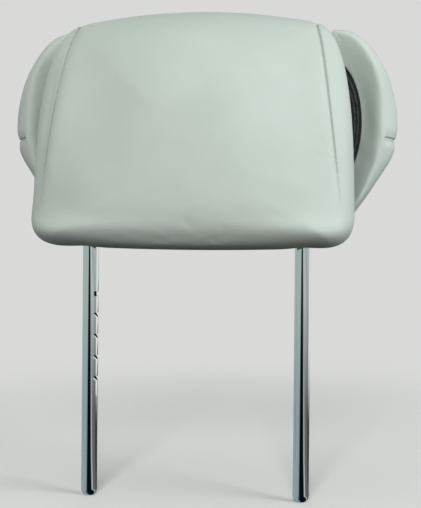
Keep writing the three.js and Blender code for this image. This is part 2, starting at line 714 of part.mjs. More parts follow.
function wingBody() {
  const dish = wingLoop((point, part) => {
    const angle = Math.PI * (0.5 - part);
    const x = WING_INNER + 3 + (DISH_WIDTH - 3) * Math.cos(angle);
    return v(x, DISH_FLOOR, DISH_Z + DISH_HEIGHT * Math.sin(angle));
  }, WING_INNER + 3, HINGE_Y + 16.5);
  const ridge = wingLoop((point) => {
    const near = towardMiddle(point, 2.5 + 10 * spread(point) ** 1.5);
    return v(near.x, HINGE_Y + 9 - 10.5 * spread(point), near.y);
  }, WING_INNER + 0.7, HINGE_Y + 14.5);
  const rim = wingLoop(
    (point) => v(point.x, HINGE_Y + 13 - 5 * spread(point), point.y),
    WING_INNER,
    HINGE_Y + 17,
  );
  const heel = wingLoop(
    (point) => v(point.x, HINGE_Y + 22 - 2 * spread(point), point.y),
    WING_INNER,
    HINGE_Y + 29,
  );
  const rear = wingLoop((point) => {
    const near = towardMiddle(point, 9);
    return v(near.x, HINGE_Y + 32, near.y);
  }, WING_INNER + 1.5, HINGE_Y + 35);
  const inner = wingLoop((point) => {
    const near = towardMiddle(point, 9).lerp(wingMiddle(), 0.45);
    return v(near.x, HINGE_Y + 36, near.y);
  }, WING_INNER + 6, HINGE_Y + 36.5);
  const loops = [dish, ridge, rim, heel, rear, inner];
  const front = v(WING_INNER + 11, DISH_FLOOR, DISH_Z);
  const back = v(WING_INNER + 16, HINGE_Y + 36.8, WING_WIDE_Z);
  return cushion(loops, [2, 2, 2, 2, 1], front, back);
}

const WING = wingBody();

// Part of the dish's ellipse that lies beyond the given x
function dishShape(shrink, from) {
  const shape = new THREE.Shape();
  const width = DISH_WIDTH - shrink;
  const height = DISH_HEIGHT - shrink;
  const start = Math.acos((from - WING_INNER) / width);
  shape.absellipse(WING_INNER, DISH_Z, width, height, -start, start, false);
  shape.closePath();
  return shape;
}

// Clockwise closed outline moved outward
function grown(points, distance) {
  return points.map((point, i) => {
    const before = points[(i + points.length - 1) % points.length];
    const after = points[(i + 1) % points.length];
    const along = after.clone().sub(before).normalize();
    return new THREE.Vector2(point.x - along.y * distance, point.y + along.x * distance);
  });
}

// Moulded plate inside the wing, the same outline at a smaller scale
function wingFramePlate(grow) {
  const centre = new THREE.Vector2(WING_INNER, FRAME_CENTRE_Z);
  const points = wingEdge(18).map((point) => (
    point.clone().sub(centre).multiplyScalar(FRAME_SCALE).add(centre)
  ));
  const shape = new THREE.Shape(grown(points, grow * 2));
  return slab(shape, FRAME_FRONT - grow, FRAME_FRONT + FRAME_THICK + grow);
}

function wingArm(grow) {
  const elbow = HINGE_Y + 14;
  const end = FRAME_FRONT + 1;
  const outline = [
    [HINGE_X - 3.5 - grow, HINGE_Y + 3.5], [HINGE_X + 5.2 + grow, HINGE_Y - 1.5],
    [WING_INNER + 7.5 + grow, elbow], [WING_INNER + 10.5 + grow, end],
    [WING_INNER + 0.7 - grow, end], [WING_INNER + 0.3 - grow, elbow],
  ];
  return prism(outline, ARM_LOW - grow, ARM_HIGH + grow);
}

function wingFrame() {
  const knuckle = bar(HINGE_X, HINGE_Y, KNUCKLE_RADIUS, KNUCKLE_LOW, KNUCKLE_HIGH);
  const body = join(wingFramePlate(0), wingArm(0), knuckle);
  return cut(body, hingeBore(KNUCKLE_BORE));
}

// Ribbed plate that lines the dish, with pegs that reach the wing's frame
function wingTrim() {
  const shape = dishShape(0.5, TRIM_INNER);
  const front = DISH_FLOOR - 1.6;
  let trim = slab(shape, front, front + 2.2, TRIM_STEPS);
  for (const shrink of [2.2, 4.8, 7.4]) {
    const line = slab(dishShape(shrink, TRIM_INNER), front - 0.7, front + 0.5, TRIM_STEPS);
    const inner = slab(dishShape(shrink + 1.1, TRIM_INNER - 1), front - 2, front + 2, TRIM_STEPS);
    trim = join(trim, cut(line, inner));
  }
  const pegs = [-1, 0, 1].map((order) => (
    stud(TRIM_INNER + 4, DISH_Z + order * PEG_PITCH, 2.4, front + 2, FRAME_FRONT - GAP)
  ));
  return join(trim, ...pegs);
}

function wingFoam() {
  const behindTrim = slab(dishShape(-GAP, WING_INNER - 2), HINGE_Y, FRAME_FRONT - GAP, TRIM_STEPS);
  const side = box(
    WING_INNER - 9.5, WING_INNER + 3, HINGE_Y, FRAME_FRONT + 4,
    ARM_LOW - 2, ARM_HIGH + 2,
  );
  return cut(inset(WING, SKIN + GAP), wingFramePlate(GAP), wingArm(2 * GAP), behindTrim, side);
}

function wingCover() {
  const mouth = slab(dishShape(0, WING_INNER), HINGE_Y, DISH_FLOOR + 5, TRIM_STEPS);
  const frameLow = FRAME_CENTRE_Z - FRAME_SCALE * (FRAME_CENTRE_Z - WING_LOW);
  const frameHigh = FRAME_CENTRE_Z + FRAME_SCALE * (WING_TOP - FRAME_CENTRE_Z);
  const side = box(
    WING_INNER - 9.5, WING_INNER + 3, HINGE_Y, FRAME_FRONT + FRAME_THICK + 3,
    frameLow - 1.5, frameHigh + 1.5,
  );
  return cut(WING, inset(WING, SKIN), mouth, side);
}

// Assembly

const GROUP = new THREE.Group();
GROUP.name = 'car_headrest';

function add(name, geometry, color, roughness, metalness) {
  const material = new THREE.MeshStandardMaterial({ color, roughness, metalness });
  const mesh = new THREE.Mesh(geometry, material);
  mesh.name = name;
  GROUP.add(mesh);
}

function addPair(name, geometry, color, roughness, metalness) {
  add(`${name}_right`, geometry, color, roughness, metalness);
  add(`${name}_left`, mirrored(geometry), color, roughness, metalness);
}

add('post_left', postLeft(), CHROME, 0.12, 1);
add('post_right', postRight(), CHROME, 0.12, 1);
add('carrier_plate', carrierPlate(), STEEL, 0.45, 1);
addPair('post_clamp', postClamp(), STEEL, 0.45, 1);
add('core_front', coreFront(), BLACK, 0.6, 0);
add('core_rear', coreRear(), BLACK, 0.6, 0);
add('pad_foam', padFoam(), FOAM, 0.95, 0);
add('pad_cover', padCover(), IVORY, 0.5, 0);
addPair('post_sleeve', postSleeve(), BLACK, 0.6, 0);
add('back_board', backBoard(), BLACK, 0.6, 0);
add('back_foam', backFoam(), FOAM, 0.95, 0);
add('back_cover', backCover(), IVORY, 0.5, 0);
addPair('hinge_bracket', hingeBracket(), STEEL, 0.45, 1);
addPair('hinge_pin', hingePin(), STEEL, 0.3, 1);
addPair('hinge_clip', pinClip(), STEEL, 0.4, 1);
for (const [label, place] of [['low', 0], ['high', 1]]) {
  add(`core_screw_right_${label}`, coreScrew(1, CORE_SCREW_Z[place]), STEEL, 0.4, 1);
  add(`core_screw_left_${label}`, coreScrew(-1, CORE_SCREW_Z[place]), STEEL, 0.4, 1);
  add(`bracket_screw_right_${label}`, bracketScrew(1, BRACKET_SCREW_Z[place]), STEEL, 0.4, 1);
  add(`bracket_screw_left_${label}`, bracketScrew(-1, BRACKET_SCREW_Z[place]), STEEL, 0.4, 1);
}
addPair('wing_frame', wingFrame(), GREY, 0.6, 0);
addPair('wing_foam', wingFoam(), FOAM, 0.95, 0);
addPair('wing_cover', wingCover(), IVORY, 0.5, 0);
addPair('wing_trim', wingTrim(), BLACK, 0.5, 0);
addPair('hinge_bush_low', hingeBush(true), BRASS, 0.4, 1);
addPair('hinge_bush_high', hingeBush(false), BRASS, 0.4, 1);
addPair('friction_sleeve', frictionSleeve(), STEEL, 0.4, 1);

export default GROUP;
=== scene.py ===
# Car headrest: padded cushion on two chrome posts, with two folding side wings.
# Metres, +Z up, the face looks to -Y. Shapes are given in millimetres and turned to metres once.
import bpy
import bmesh
import json
import math
from functools import cache
from mathutils import Matrix, Vector
import numpy as np


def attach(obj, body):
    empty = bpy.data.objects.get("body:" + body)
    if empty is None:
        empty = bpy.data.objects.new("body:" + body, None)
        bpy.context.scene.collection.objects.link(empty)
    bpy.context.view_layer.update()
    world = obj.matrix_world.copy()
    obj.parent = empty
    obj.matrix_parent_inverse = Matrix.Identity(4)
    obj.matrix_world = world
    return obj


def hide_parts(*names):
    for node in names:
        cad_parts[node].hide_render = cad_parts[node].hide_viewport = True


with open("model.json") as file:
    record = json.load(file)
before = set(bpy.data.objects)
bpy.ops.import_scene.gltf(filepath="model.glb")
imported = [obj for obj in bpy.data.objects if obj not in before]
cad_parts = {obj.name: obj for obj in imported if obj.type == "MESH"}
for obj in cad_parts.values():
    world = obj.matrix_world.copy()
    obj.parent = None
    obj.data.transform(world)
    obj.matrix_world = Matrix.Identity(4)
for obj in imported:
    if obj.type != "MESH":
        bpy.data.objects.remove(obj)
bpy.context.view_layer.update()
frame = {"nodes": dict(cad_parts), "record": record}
scene = bpy.context.scene
MM = 0.001

# Posts
POST_X = 81.0
POST_RADIUS = 6.0
POST_TOP = 300.0
POST_NOSE = 5.0
NOTCH_TOP_Z = 154.2
NOTCH_PITCH = 16.2
NOTCH_COUNT = 5
NOTCH_DEPTH = 2.3
NOTCH_HALF = 1.8

# Wings
WING_INNER = 99.5
WING_TOP = 360.0
WING_LOW = 196.5
WING_WIDE_Z = 284.0
WING_ARC_X = 104.0
WING_ARC_WIDTH = 47.0
FRAME_MIDDLE_Z = 283.0
FRAME_SHARE = 0.7
DISH_Z = 289.0
DISH_WIDTH = 24.5
DISH_HEIGHT = 50.0
DISH_FLOOR = 47.5

# Soft pieces
FINE = 4
EDGE_STEPS = 18 * FINE
SPINE_STEPS = 5 * FINE
START_INSET = 0.6
SHARP_EDGE = 50
WING_MIDDLE = (WING_INNER + 12, WING_WIDE_Z)

# Room for the solids inside the leather: x, y and z from and to
CORE_ROOM = (-97.5, 97.5, -14.5, 30, 211.5, 318.5)
BOARD_ROOM = (-75.5, 75.5, 10, 21.6, 214.5, 339.5)
BRACKET_ROOM = (77, 130, 10, 39, 241, 317)
HINGE_SIDE_ROOM = (90, 102.5, 20, 58, 221, 338.5)
TRIM_ROOM_Y = (30, 51.7)
PLATE_ROOM_Y = (51.7, 55.3)
PLATE_CLEARANCE = 1.5
POST_CLEARANCE = 0.8

STITCH_LENGTH = 3.4
STITCH_PITCH = 4.6
THREAD_RADIUS = 0.22

# Camera, from the photograph
CAMERA_AZIMUTH = 6.83
CAMERA_ELEVATION = 0.54
CAMERA_ROLL = 0.52
CAMERA_DISTANCE = 0.907
CAMERA_TARGET = (0.0112, 0.0, 0.1853)
FOCAL_PIXELS = 1199.0
PHOTO_HEIGHT = 508.0
SENSOR = 36.0


# Small helpers

def linear(code):
    channels = []
    for start in (0, 2, 4):
        value = int(code[start:start + 2], 16) / 255
        channels.append(value / 12.92 if value <= 0.04045 else ((value + 0.055) / 1.055) ** 2.4)
    return (*channels, 1.0)


def vec(x, y, z):
    return np.array((x, y, z), dtype=float)


def add_object(name, mesh):
    obj = bpy.data.objects.new(name, mesh)
    scene.collection.objects.link(obj)
    return obj


def mesh_from(name, points, faces):
    mesh = bpy.data.meshes.new(name)
    mesh.from_pydata([tuple(p) for p in points], [], faces)
    mesh.update()
    return mesh


def bake(obj):
    graph = bpy.context.evaluated_depsgraph_get()
    graph.update()
    mesh = bpy.data.meshes.new_from_object(obj.evaluated_get(graph), depsgraph=graph)
    old = obj.data
    obj.modifiers.clear()
    obj.data = mesh
    bpy.data.meshes.remove(old)
    mesh.name = obj.name
    return obj


def coordinates(mesh):
    flat = np.empty(len(mesh.vertices) * 3)
    mesh.vertices.foreach_get("co", flat)
    return flat.reshape(-1, 3)


def set_coordinates(mesh, points):
    mesh.vertices.foreach_set("co", points.reshape(-1))
    mesh.update()


def normals(mesh):
    flat = np.empty(len(mesh.vertices) * 3)
    mesh.vertex_normals.foreach_get("vector", flat)
    return flat.reshape(-1, 3)


def smooth_shading(obj, sharp_above=None):
    mesh = obj.data
    mesh.polygons.foreach_set("use_smooth", [True] * len(mesh.polygons))
    if sharp_above is not None:
        work = bmesh.new()
        work.from_mesh(mesh)
        limit = math.radians(sharp_above)
        for edge in work.edges:
            if len(edge.link_faces) == 2 and edge.calc_face_angle(0.0) > limit:
                edge.smooth = False
        work.to_mesh(mesh)
        work.free()
    mesh.update()


# Curves

def quadratic(a, b, c, steps):
    return [(1 - t) ** 2 * a + 2 * t * (1 - t) * b + t * t * c for t in (k / steps for k in range(steps))]


def cubic(a, b, c, d, steps):
    out = []
    for k in range(steps):
        t = k / steps
        s = 1 - t
        out.append(s ** 3 * a + 3 * s * s * t * b + 3 * s * t * t * c + t ** 3 * d)
    return out


def spline_through(points, steps):
    """Centripetal curve through the points, with so many steps in each stretch."""
    points = [np.asarray(p, dtype=float) for p in points]
    first = 2 * points[0] - points[1]
    last = 2 * points[-1] - points[-2]
    line = [first, *points, last]
    out = [points[0]]
    for span, count in enumerate(steps):
        p0, p1, p2, p3 = line[span:span + 4]
        d0 = max(np.linalg.norm(p1 - p0) ** 0.5, 1e-4)
        d1 = max(np.linalg.norm(p2 - p1) ** 0.5, 1e-4)
        d2 = max(np.linalg.norm(p3 - p2) ** 0.5, 1e-4)
        t1 = (p1 - p0) / d0 - (p2 - p0) / (d0 + d1) + (p2 - p1) / d1
        t2 = (p2 - p1) / d1 - (p3 - p1) / (d1 + d2) + (p3 - p2) / d2
        t1 = t1 * d1
        t2 = t2 * d1
        for k in range(1, count + 1):
            t = k / count
            a = 2 * t ** 3 - 3 * t ** 2 + 1
            b = t ** 3 - 2 * t ** 2 + t
            c = -2 * t ** 3 + 3 * t ** 2
            d = t ** 3 - t ** 2
            out.append(a * p1 + b * t1 + c * p2 + d * t2)
    return out


# Guide loops, the same ones as the solids, with the leather standing a little proud of them

def step_up(value, low, high):
    part = np.clip((value - low) / (high - low), 0, 1)
    return part * part * (3 - 2 * part)


def pad_fullness(points):
    """Stuffed leather stands up along the top, is fuller at one lower corner and rolls in tightly below."""
    full = np.array(points, dtype=float)
    full[..., 2] += 2.2 * step_up(full[..., 2], 305, 350)
    corner = step_up(-full[..., 0], 95, 115) * step_up(-full[..., 2], -232, -205)
    full[..., 0] -= 1.6 * corner
    roll = np.exp(-((full[..., 2] - 202) / 8) ** 2) * step_up(-full[..., 1], 30, 44)
    full[..., 1] -= 2.8 * roll
    return full


def wing_fullness(points):
    """The wing's leather stands up at the top and is fuller along the lower slope."""
    full = np.array(points, dtype=float)
    full[..., 2] += 1.8 * step_up(full[..., 2], 335, 358)
    slope = step_up(full[..., 2], 205, 235) * step_up(-full[..., 2], -272, -256)
    full[..., 0] += 2.2 * slope * step_up(full[..., 0], 104, 118)
    return full


def pad_loop(top, shoulder, pull_high, pull_low, hip, corner, heel, bottom):
    top, shoulder, hip, corner, heel, bottom = (vec(*p) for p in (top, shoulder, hip, corner, heel, bottom))
    half = quadratic(top, vec(shoulder[0] * 0.5, top[1], top[2]), shoulder, 4 * FINE)
    half += cubic(shoulder, vec(*pull_high), vec(*pull_low), hip, 7 * FINE)
    half += quadratic(hip, corner, heel, 5 * FINE)
    half += quadratic(heel, vec(heel[0] * 0.5, bottom[1], bottom[2]), bottom, 4 * FINE)
    mirror = [p * (-1, 1, 1) for p in reversed(half[1:])]
    return [*half, bottom, *mirror]


def cushion(name, loops, front, back, fullness=None):
    """Closed soft body: each column is one smooth curve from the front pole over the loops to the back."""
    count = len(loops[0])
    spans = len(loops) + 1
    columns = []
    for i in range(count):
        line = [vec(*front), *(loop[i] for loop in loops), vec(*back)]
        columns.append(spline_through(line, [2 * FINE] * spans)[1:-1])
    depth = len(columns[0])
    points = [p for column in columns for p in column]
    points += [vec(*front), vec(*back)]
    pole = count * depth
    faces = []
    for i in range(count):
        here = i * depth
        after = ((i + 1) % count) * depth
        faces.append((pole, after, here))
        for k in range(depth - 1):
            faces.append((here + k, after + k, after + k + 1, here + k + 1))
        faces.append((pole + 1, here + depth - 1, after + depth - 1))
    points = np.array(points) if fullness is None else fullness(points)
    return add_object(name, mesh_from(name, points * MM, faces))


SEAM_SIDE = ((90, -6, 355), (96, -31, 335), (103, -50, 285), (111.5, -44, 216))


def pad_shape():
    crown = pad_loop(
        (0, -56.5, 303), (34, -55.5, 300), (38, -57.5, 285), (42, -59, 265),
        (44, -59.3, 246), (44, -59.5, 236), (34, -60, 232), (0, -60.5, 230))
    face = pad_loop(
        (0, -37, 342), (70, -31, 336), (75, -42, 315), (80, -51, 275),
        (86, -54, 232), (86, -54.5, 218), (74, -56.5, 214), (0, -58.5, 213))
    seam = pad_loop((0, -12, 362), *SEAM_SIDE, (112, -46, 201), (98, -50, 198), (0, -50.5, 196.5))
    widest = pad_loop(
        (0, 4, 366.9), (92, 4, 357.5), (113, -14, 345), (118.5, -28, 300),
        (119.6, -27, 214), (119.6, -28, 191), (97, -29, 190.4), (0, -29, 188.7))
    rear = pad_loop(
        (0, 13, 363), (90, 12, 354), (106, 8, 340), (112, 6, 300),
        (113, 6, 216), (113, 6, 196), (95, 6, 193.5), (0, 6, 191))
    tuck = pad_loop(
        (0, 17, 354), (86, 17, 345), (99, 17, 334), (105, 17, 298),
        (106, 17, 220), (106, 17, 204), (92, 17, 201), (0, 17, 200))
    loops = [crown, face, seam, widest, rear, tuck]
    return cushion("pad_leather", loops, (0, -60.6, 268), (0, 17, 280), pad_fullness)


def back_shape():
    front = pad_loop(
        (0, 19, 352), (80, 19, 344), (88, 19, 334), (90, 19, 300),
        (90, 19, 222), (90, 19, 208), (80, 19, 205), (0, 19, 204))
    edge = pad_loop(
        (0, 22, 358), (84, 22, 350), (92, 22, 340), (94, 22, 300),
        (94, 22, 216), (94, 22, 203), (84, 22, 200), (0, 22, 199))
    flank = pad_loop(
        (0, 40, 361.5), (86, 40, 353), (95, 42, 342), (96, 42, 300),
        (96, 42, 214), (96, 42, 198), (84, 40, 196), (0, 40, 195))
    swell = pad_loop(
        (0, 57, 356), (80, 57, 348), (90, 58, 336), (92, 58, 298),
        (92, 58, 220), (92, 58, 205), (80, 57, 202), (0, 57, 201))
    rear = pad_loop(
        (0, 65, 322), (50, 65, 318), (58, 65, 310), (60, 65, 290),
        (60, 65, 252), (60, 65, 240), (50, 65, 236), (0, 65, 235))
    return cushion("back_leather", [front, edge, flank, swell, rear], (0, 19, 280), (0, 66.5, 280))


def wing_edge(count):
    """Right wing's outline seen from the front, as evenly spaced (x, z) points."""
    rise = WING_TOP - WING_WIDE_Z
    line = [(WING_INNER, WING_TOP)]
    for k in range(61):
        angle = math.pi / 2 * (1 - k / 60)
        line.append((WING_ARC_X + WING_ARC_WIDTH * math.cos(angle), WING_WIDE_Z + rise * math.sin(angle)))
    wide = vec(WING_ARC_X + WING_ARC_WIDTH, WING_WIDE_Z, 0)
    hip = vec(146.8, 264, 0)
    foot = vec(112, 208.5, 0)
    line += [tuple(p[:2]) for p in quadratic(wide, vec(WING_ARC_X + WING_ARC_WIDTH, 270, 0), hip, 12)[1:]]
    line += [tuple(hip[:2])]
    low = vec(WING_INNER, WING_LOW, 0)
    line += [tuple(p[:2]) for p in quadratic(foot, vec(104.5, WING_LOW, 0), low, 12)]
    line.append((WING_INNER, WING_LOW))
    line = np.array(line)
    length = np.concatenate(([0], np.cumsum(np.linalg.norm(np.diff(line, axis=0), axis=1))))
    at = np.linspace(0, length[-1], count + 1)
    return np.stack((np.interp(at, length, line[:, 0]), np.interp(at, length, line[:, 1])), axis=1)


def wing_loop(rule, hinge_x, hinge_y):
    edge = wing_edge(EDGE_STEPS)
    loop = [vec(*rule(point, i / EDGE_STEPS)) for i, point in enumerate(edge)]
    low, high = loop[-1][2], loop[0][2]
    for k in range(1, SPINE_STEPS):
        loop.append(vec(hinge_x, hinge_y, low + (high - low) * k / SPINE_STEPS))
    loop[0] = vec(hinge_x, loop[0][1], high)
    loop[EDGE_STEPS] = vec(hinge_x, loop[EDGE_STEPS][1], low)
    return loop


def spread(point):
    return (point[0] - WING_INNER) / (WING_ARC_X + WING_ARC_WIDTH - WING_INNER)


def toward_middle(point, distance, part=0.0):
    middle = np.array(WING_MIDDLE)
    way = middle - point
    near = point + way / np.linalg.norm(way) * distance
    return near + (middle - near) * part


def wing_shape():
    def dish(point, part):
        angle = math.pi * (0.5 - part)
        x = WING_INNER + 3 + (DISH_WIDTH - 3) * math.cos(angle)
        return x, DISH_FLOOR, DISH_Z + DISH_HEIGHT * math.sin(angle)

    def ridge(point, part):
        near = toward_middle(point, 2.5 + 10 * max(spread(point), 0) ** 1.5)
        return near[0], 39 - 10.5 * spread(point), near[1]

    def rim(point, part):
        return point[0], 43 - 5 * spread(point), point[1]

    def heel(point, part):
        return point[0], 52 - 2 * spread(point), point[1]

    def rear(point, part):
        near = toward_middle(point, 9)
        return near[0], 62, near[1]

    def inner(point, part):
        near = toward_middle(point, 9, 0.45)
        return near[0], 66, near[1]

    loops = [
        wing_loop(dish, WING_INNER + 3, 46.5),
        wing_loop(ridge, WING_INNER + 0.7, 44.5),
        wing_loop(rim, WING_INNER, 47),
        wing_loop(heel, WING_INNER, 59),
        wing_loop(rear, WING_INNER + 1.5, 65),
        wing_loop(inner, WING_INNER + 6, 66.5),
    ]
    front = (WING_INNER + 11, DISH_FLOOR, DISH_Z)
    back = (WING_INNER + 16, 66.8, 284)
    return cushion("wing_leather_right", loops, front, back, wing_fullness)


# Soft surfaces

def even_mesh(obj, voxel, rounds):
    """Even net of faces on the drawn surface, a little inside it so that the leather can swell out."""
    drawn = add_object("drawn_surface", obj.data.copy())
    remesh = obj.modifiers.new("even", "REMESH")
    remesh.mode = "VOXEL"
    remesh.voxel_size = voxel * MM
    bake(obj)
    for amount in (rounds, 2):
        relax = obj.modifiers.new("relax", "SMOOTH")
        relax.factor = 0.5
        relax.iterations = amount
        wrap = obj.modifiers.new("wrap", "SHRINKWRAP")
        wrap.wrap_method = "NEAREST_SURFACEPOINT"
        wrap.target = drawn
        bake(obj)
    bpy.data.objects.remove(drawn)
    soften(obj, 1)
    set_coordinates(obj.data, coordinates(obj.data) - normals(obj.data) * START_INSET * MM)


def soften(obj, rounds):
    relax = obj.modifiers.new("soften", "SMOOTH")
    relax.factor = 0.5
    relax.iterations = rounds
    bake(obj)


def nearest(points, path):
    """For each point: distance to the path in mm, the path's strength there, and how far outward it lies."""
    places = np.array([place for place, _ in path])
    strengths = np.array([strength for _, strength in path])
    flat = points / MM
    distance = np.full(len(flat), 999.0)
    strength = np.zeros(len(flat))
    outward = np.zeros(len(flat))
    inside = np.all((flat > places.min(axis=0) - 22) & (flat < places.max(axis=0) + 22), axis=1)
    near = np.flatnonzero(inside)
    for start in range(0, len(near), 4000):
        part = near[start:start + 4000]
        gaps = np.linalg.norm(flat[part][:, None, :] - places[None, :, :], axis=2)
        closest = gaps.argmin(axis=1)
        distance[part] = gaps[np.arange(len(part)), closest]
        strength[part] = strengths[closest]
        outward[part] = np.abs(flat[part][:, 0]) - np.abs(places[closest][:, 0])
    return distance, strength, outward


def puff(obj, held_path, cap, pressure=3.0, frames=16):
    """Blows the leather up between its seams with the cloth solver, then limits how far it went."""
    mesh = obj.data
    rest = coordinates(mesh)
    distance, _, _ = nearest(rest, held_path)
    group = obj.vertex_groups.new(name="seams")
    for i in np.flatnonzero(distance < 3.5):
        group.add([int(i)], 1.0, "REPLACE")
    cloth = obj.modifiers.new("cloth", "CLOTH")
    settings = cloth.settings
    settings.quality = 4
    settings.mass = 0.3
    settings.tension_stiffness = 30
    settings.compression_stiffness = 30
    settings.shear_stiffness = 12
    settings.bending_stiffness = 4
    settings.use_pressure = True
    settings.uniform_pressure_force = pressure
    settings.vertex_group_mass = "seams"
    settings.effector_weights.gravity = 0
    cloth.collision_settings.use_collision = False
    cloth.point_cache.frame_start = 1
    cloth.point_cache.frame_end = frames
    for number in range(1, frames + 1):
        scene.frame_set(number)
    graph = bpy.context.evaluated_depsgraph_get()
    shaped = obj.evaluated_get(graph)
    moved = coordinates(shaped.data).copy()
    obj.modifiers.clear()
    obj.vertex_groups.clear()
    scene.frame_set(1)
    shift = moved - rest
    length = np.linalg.norm(shift, axis=1, keepdims=True)
    limit = cap * MM
    shift *= limit * np.tanh(length / limit) / np.maximum(length, 1e-9)
    set_coordinates(mesh, rest + shift)


def finer(obj):
    subdivide = obj.modifiers.new("finer", "SUBSURF")
    subdivide.levels = 1
    subdivide.render_levels = 1
    bake(obj)


def sew(obj, path, depth, width, dip, reach, ridge=0.0):
    """Divides the net finely along a sewn line and presses the line in."""
    mesh = obj.data
    for _ in range(2):
        distance, _, _ = nearest(coordinates(mesh), path)
        near = distance < 3.2 * width
        work = bmesh.new()
        work.from_mesh(mesh)
        work.verts.ensure_lookup_table()
        edges = [e for e in work.edges if near[e.verts[0].index] and near[e.verts[1].index]]
        bmesh.ops.subdivide_edges(work, edges=edges, cuts=1, use_grid_fill=True)
        work.to_mesh(mesh)
        work.free()
    mesh.update()
    press(obj, path, depth, width, dip, reach, ridge)


def press(obj, path, depth, width, dip, reach, ridge=0.0):
    """Presses a line in: a narrow groove in a shallow valley, with a rolled edge outside it."""
    mesh = obj.data
    points = coordinates(mesh)
    distance, strength, outward = nearest(points, path)
    shape = -depth * np.exp(-(distance / width) ** 2) - dip * np.exp(-(distance / reach) ** 2)
    shape += ridge * np.exp(-((distance - 2.4) / 1.3) ** 2) * (outward > 0)
    set_coordinates(mesh, points + normals(mesh) * (shape * strength * MM)[:, None])


def mark_seams(obj, paths):
    """Stores how deep in a seam each vertex lies, which the leather's material reads to paint shade into the
    seam.
    """
    mesh = obj.data
    points = coordinates(mesh)
    depth = np.zeros(len(points))
    for path in paths:
        distance, strength, _ = nearest(points, path)
        depth = np.maximum(depth, np.exp(-(distance / 0.75) ** 2) * strength)
    mark = mesh.attributes.new("seam_depth", "FLOAT", "POINT")
    mark.data.foreach_set("value", depth.astype(np.float32))


def cut_away(obj, cutters):
    """Takes closed bodies out of the object."""
    for cutter in cutters:
        tool = obj.modifiers.new("cut", "BOOLEAN")
        tool.operation = "DIFFERENCE"
        tool.solver = "EXACT"
        tool.object = cutter
        bake(obj)
        bpy.data.objects.remove(cutter)


def box_body(x0, x1, y0, y1, z0, z1):
    corners = [(x, y, z) for x in (x0, x1) for y in (y0, y1) for z in (z0, z1)]
    faces = [(0, 1, 3, 2), (4, 6, 7, 5), (0, 4, 5, 1), (2, 3, 7, 6), (0, 2, 6, 4), (1, 5, 7, 3)]
    return add_object("cutter", mesh_from("cutter", np.array(corners) * MM, faces))


def prism_body(outline, y0, y1):
    """Outline in x and z, drawn along Y."""
    count = len(outline)
    points = [(x, y0, z) for x, z in outline] + [(x, y1, z) for x, z in outline]
    faces = [tuple(reversed(range(count))), tuple(range(count, 2 * count))]
    faces += [(i, (i + 1) % count, count + (i + 1) % count, count + i) for i in range(count)]
    body = add_object("cutter", mesh_from("cutter", np.array(points) * MM, faces))
    work = bmesh.new()
    work.from_mesh(body.data)
    bmesh.ops.recalc_face_normals(work, faces=work.faces)
    work.to_mesh(body.data)
    work.free()
    return body


def post_hole(side, radius, z0, z1):
    turn = [2 * math.pi * k / 48 for k in range(48)]
    ring = [(side * POST_X + radius * math.cos(a), radius * math.sin(a)) for a in turn]
    points = [(x, y, z0) for x, y in ring] + [(x, y, z1) for x, y in ring]
    faces = [tuple(reversed(range(48))), tuple(range(48, 96))]
    faces += [(i, (i + 1) % 48, 48 + (i + 1) % 48, 48 + i) for i in range(48)]
    return add_object("cutter", mesh_from("cutter", np.array(points) * MM, faces))


def mirrored(obj, name):
    mesh = obj.data.copy()
    mesh.name = name
    points = coordinates(mesh)
    points[:, 0] *= -1
    set_coordinates(mesh, points)
    mesh.flip_normals()
    return add_object(name, mesh)


# Seam lines as (point, strength) lists

def face_seam(side):
    steps = 160
    line = cubic(*(vec(*p) for p in SEAM_SIDE), steps)
    path = []
    for k, point in enumerate(line):
        fade = min(1.0, (steps - k) / (0.22 * steps))
        path.append((point * (side, 1, 1), fade))
    over_top = [vec(90, -6, 355), vec(90.5, 0, 357), vec(90, 8, 356), vec(89, 14, 352)]
    top = spline_through(over_top, [10, 10, 10])
    path += [(point * (side, 1, 1), 1.0) for point in top]
    return [(pad_fullness(point), strength) for point, strength in path]


def side_valley(side):
    """Soft fold of the side strip, which runs just outside the face seam and meets it low down."""
    steps = 80
    line = cubic(*(vec(*p) for p in SEAM_SIDE), steps)
    path = []
    for k, point in enumerate(line):
        part = k / steps
        away = 7.5 * (1 - part) + 1.5
        strength = min(1.0, max(0.0, (part - 0.25) / 0.35)) * min(1.0, (1.02 - part) / 0.12)
        path.append(((point + (away, 0.6 * away, 0)) * (side, 1, 1), strength))
    return path


def post_puckers(side):
    """Short folds that run round the place where a post goes in."""
    folds = []
    for radius in (11, 15):
        path = []
        for k in range(25):
            angle = math.radians(-150 + 120 * k / 24)
            place = vec(side * POST_X + radius * math.cos(angle), -14 + 1.5 * radius * math.sin(angle), 190)
            path.append((place, math.sin(math.pi * k / 24)))
        folds.append(path)
    return folds


def on_surface(obj, path):
    """Moves the path's points to the nearest place of the surface."""
    graph = bpy.context.evaluated_depsgraph_get()
    out = []
    for place, strength in path:
        found, where, _, _ = obj.closest_point_on_mesh(Vector(place * MM), depsgraph=graph)
        out.append((np.array(where) / MM, strength))
    return out


def line_path(points, steps, fade=0.0):
    line = spline_through([vec(*p) for p in points], [steps] * (len(points) - 1))
    total = len(line) - 1
    path = []
    for k, point in enumerate(line):
        part = min(k, total - k) / total
        path.append((point, 1.0 if fade == 0 else min(1.0, part / fade)))
    return path


def both_halves(half):
    return half + [(point * (-1, 1, 1), strength) for point, strength in reversed(half)]


# Leather pieces

def dent_round_posts(obj):
    """The leather is drawn up where the posts go in."""
    points = coordinates(obj.data)
    flat = points / MM
    for side in (-1, 1):
        across = np.abs(flat[:, 0] - side * POST_X)
        low = step_up(-flat[:, 2], -202, -192)
        along = np.exp(-(np.maximum(np.abs(flat[:, 1] + 10) - 20, 0) / 12) ** 2)
        points[:, 2] += 0.8 * np.exp(-(across / 10) ** 2) * low * along * MM
    set_coordinates(obj.data, points)


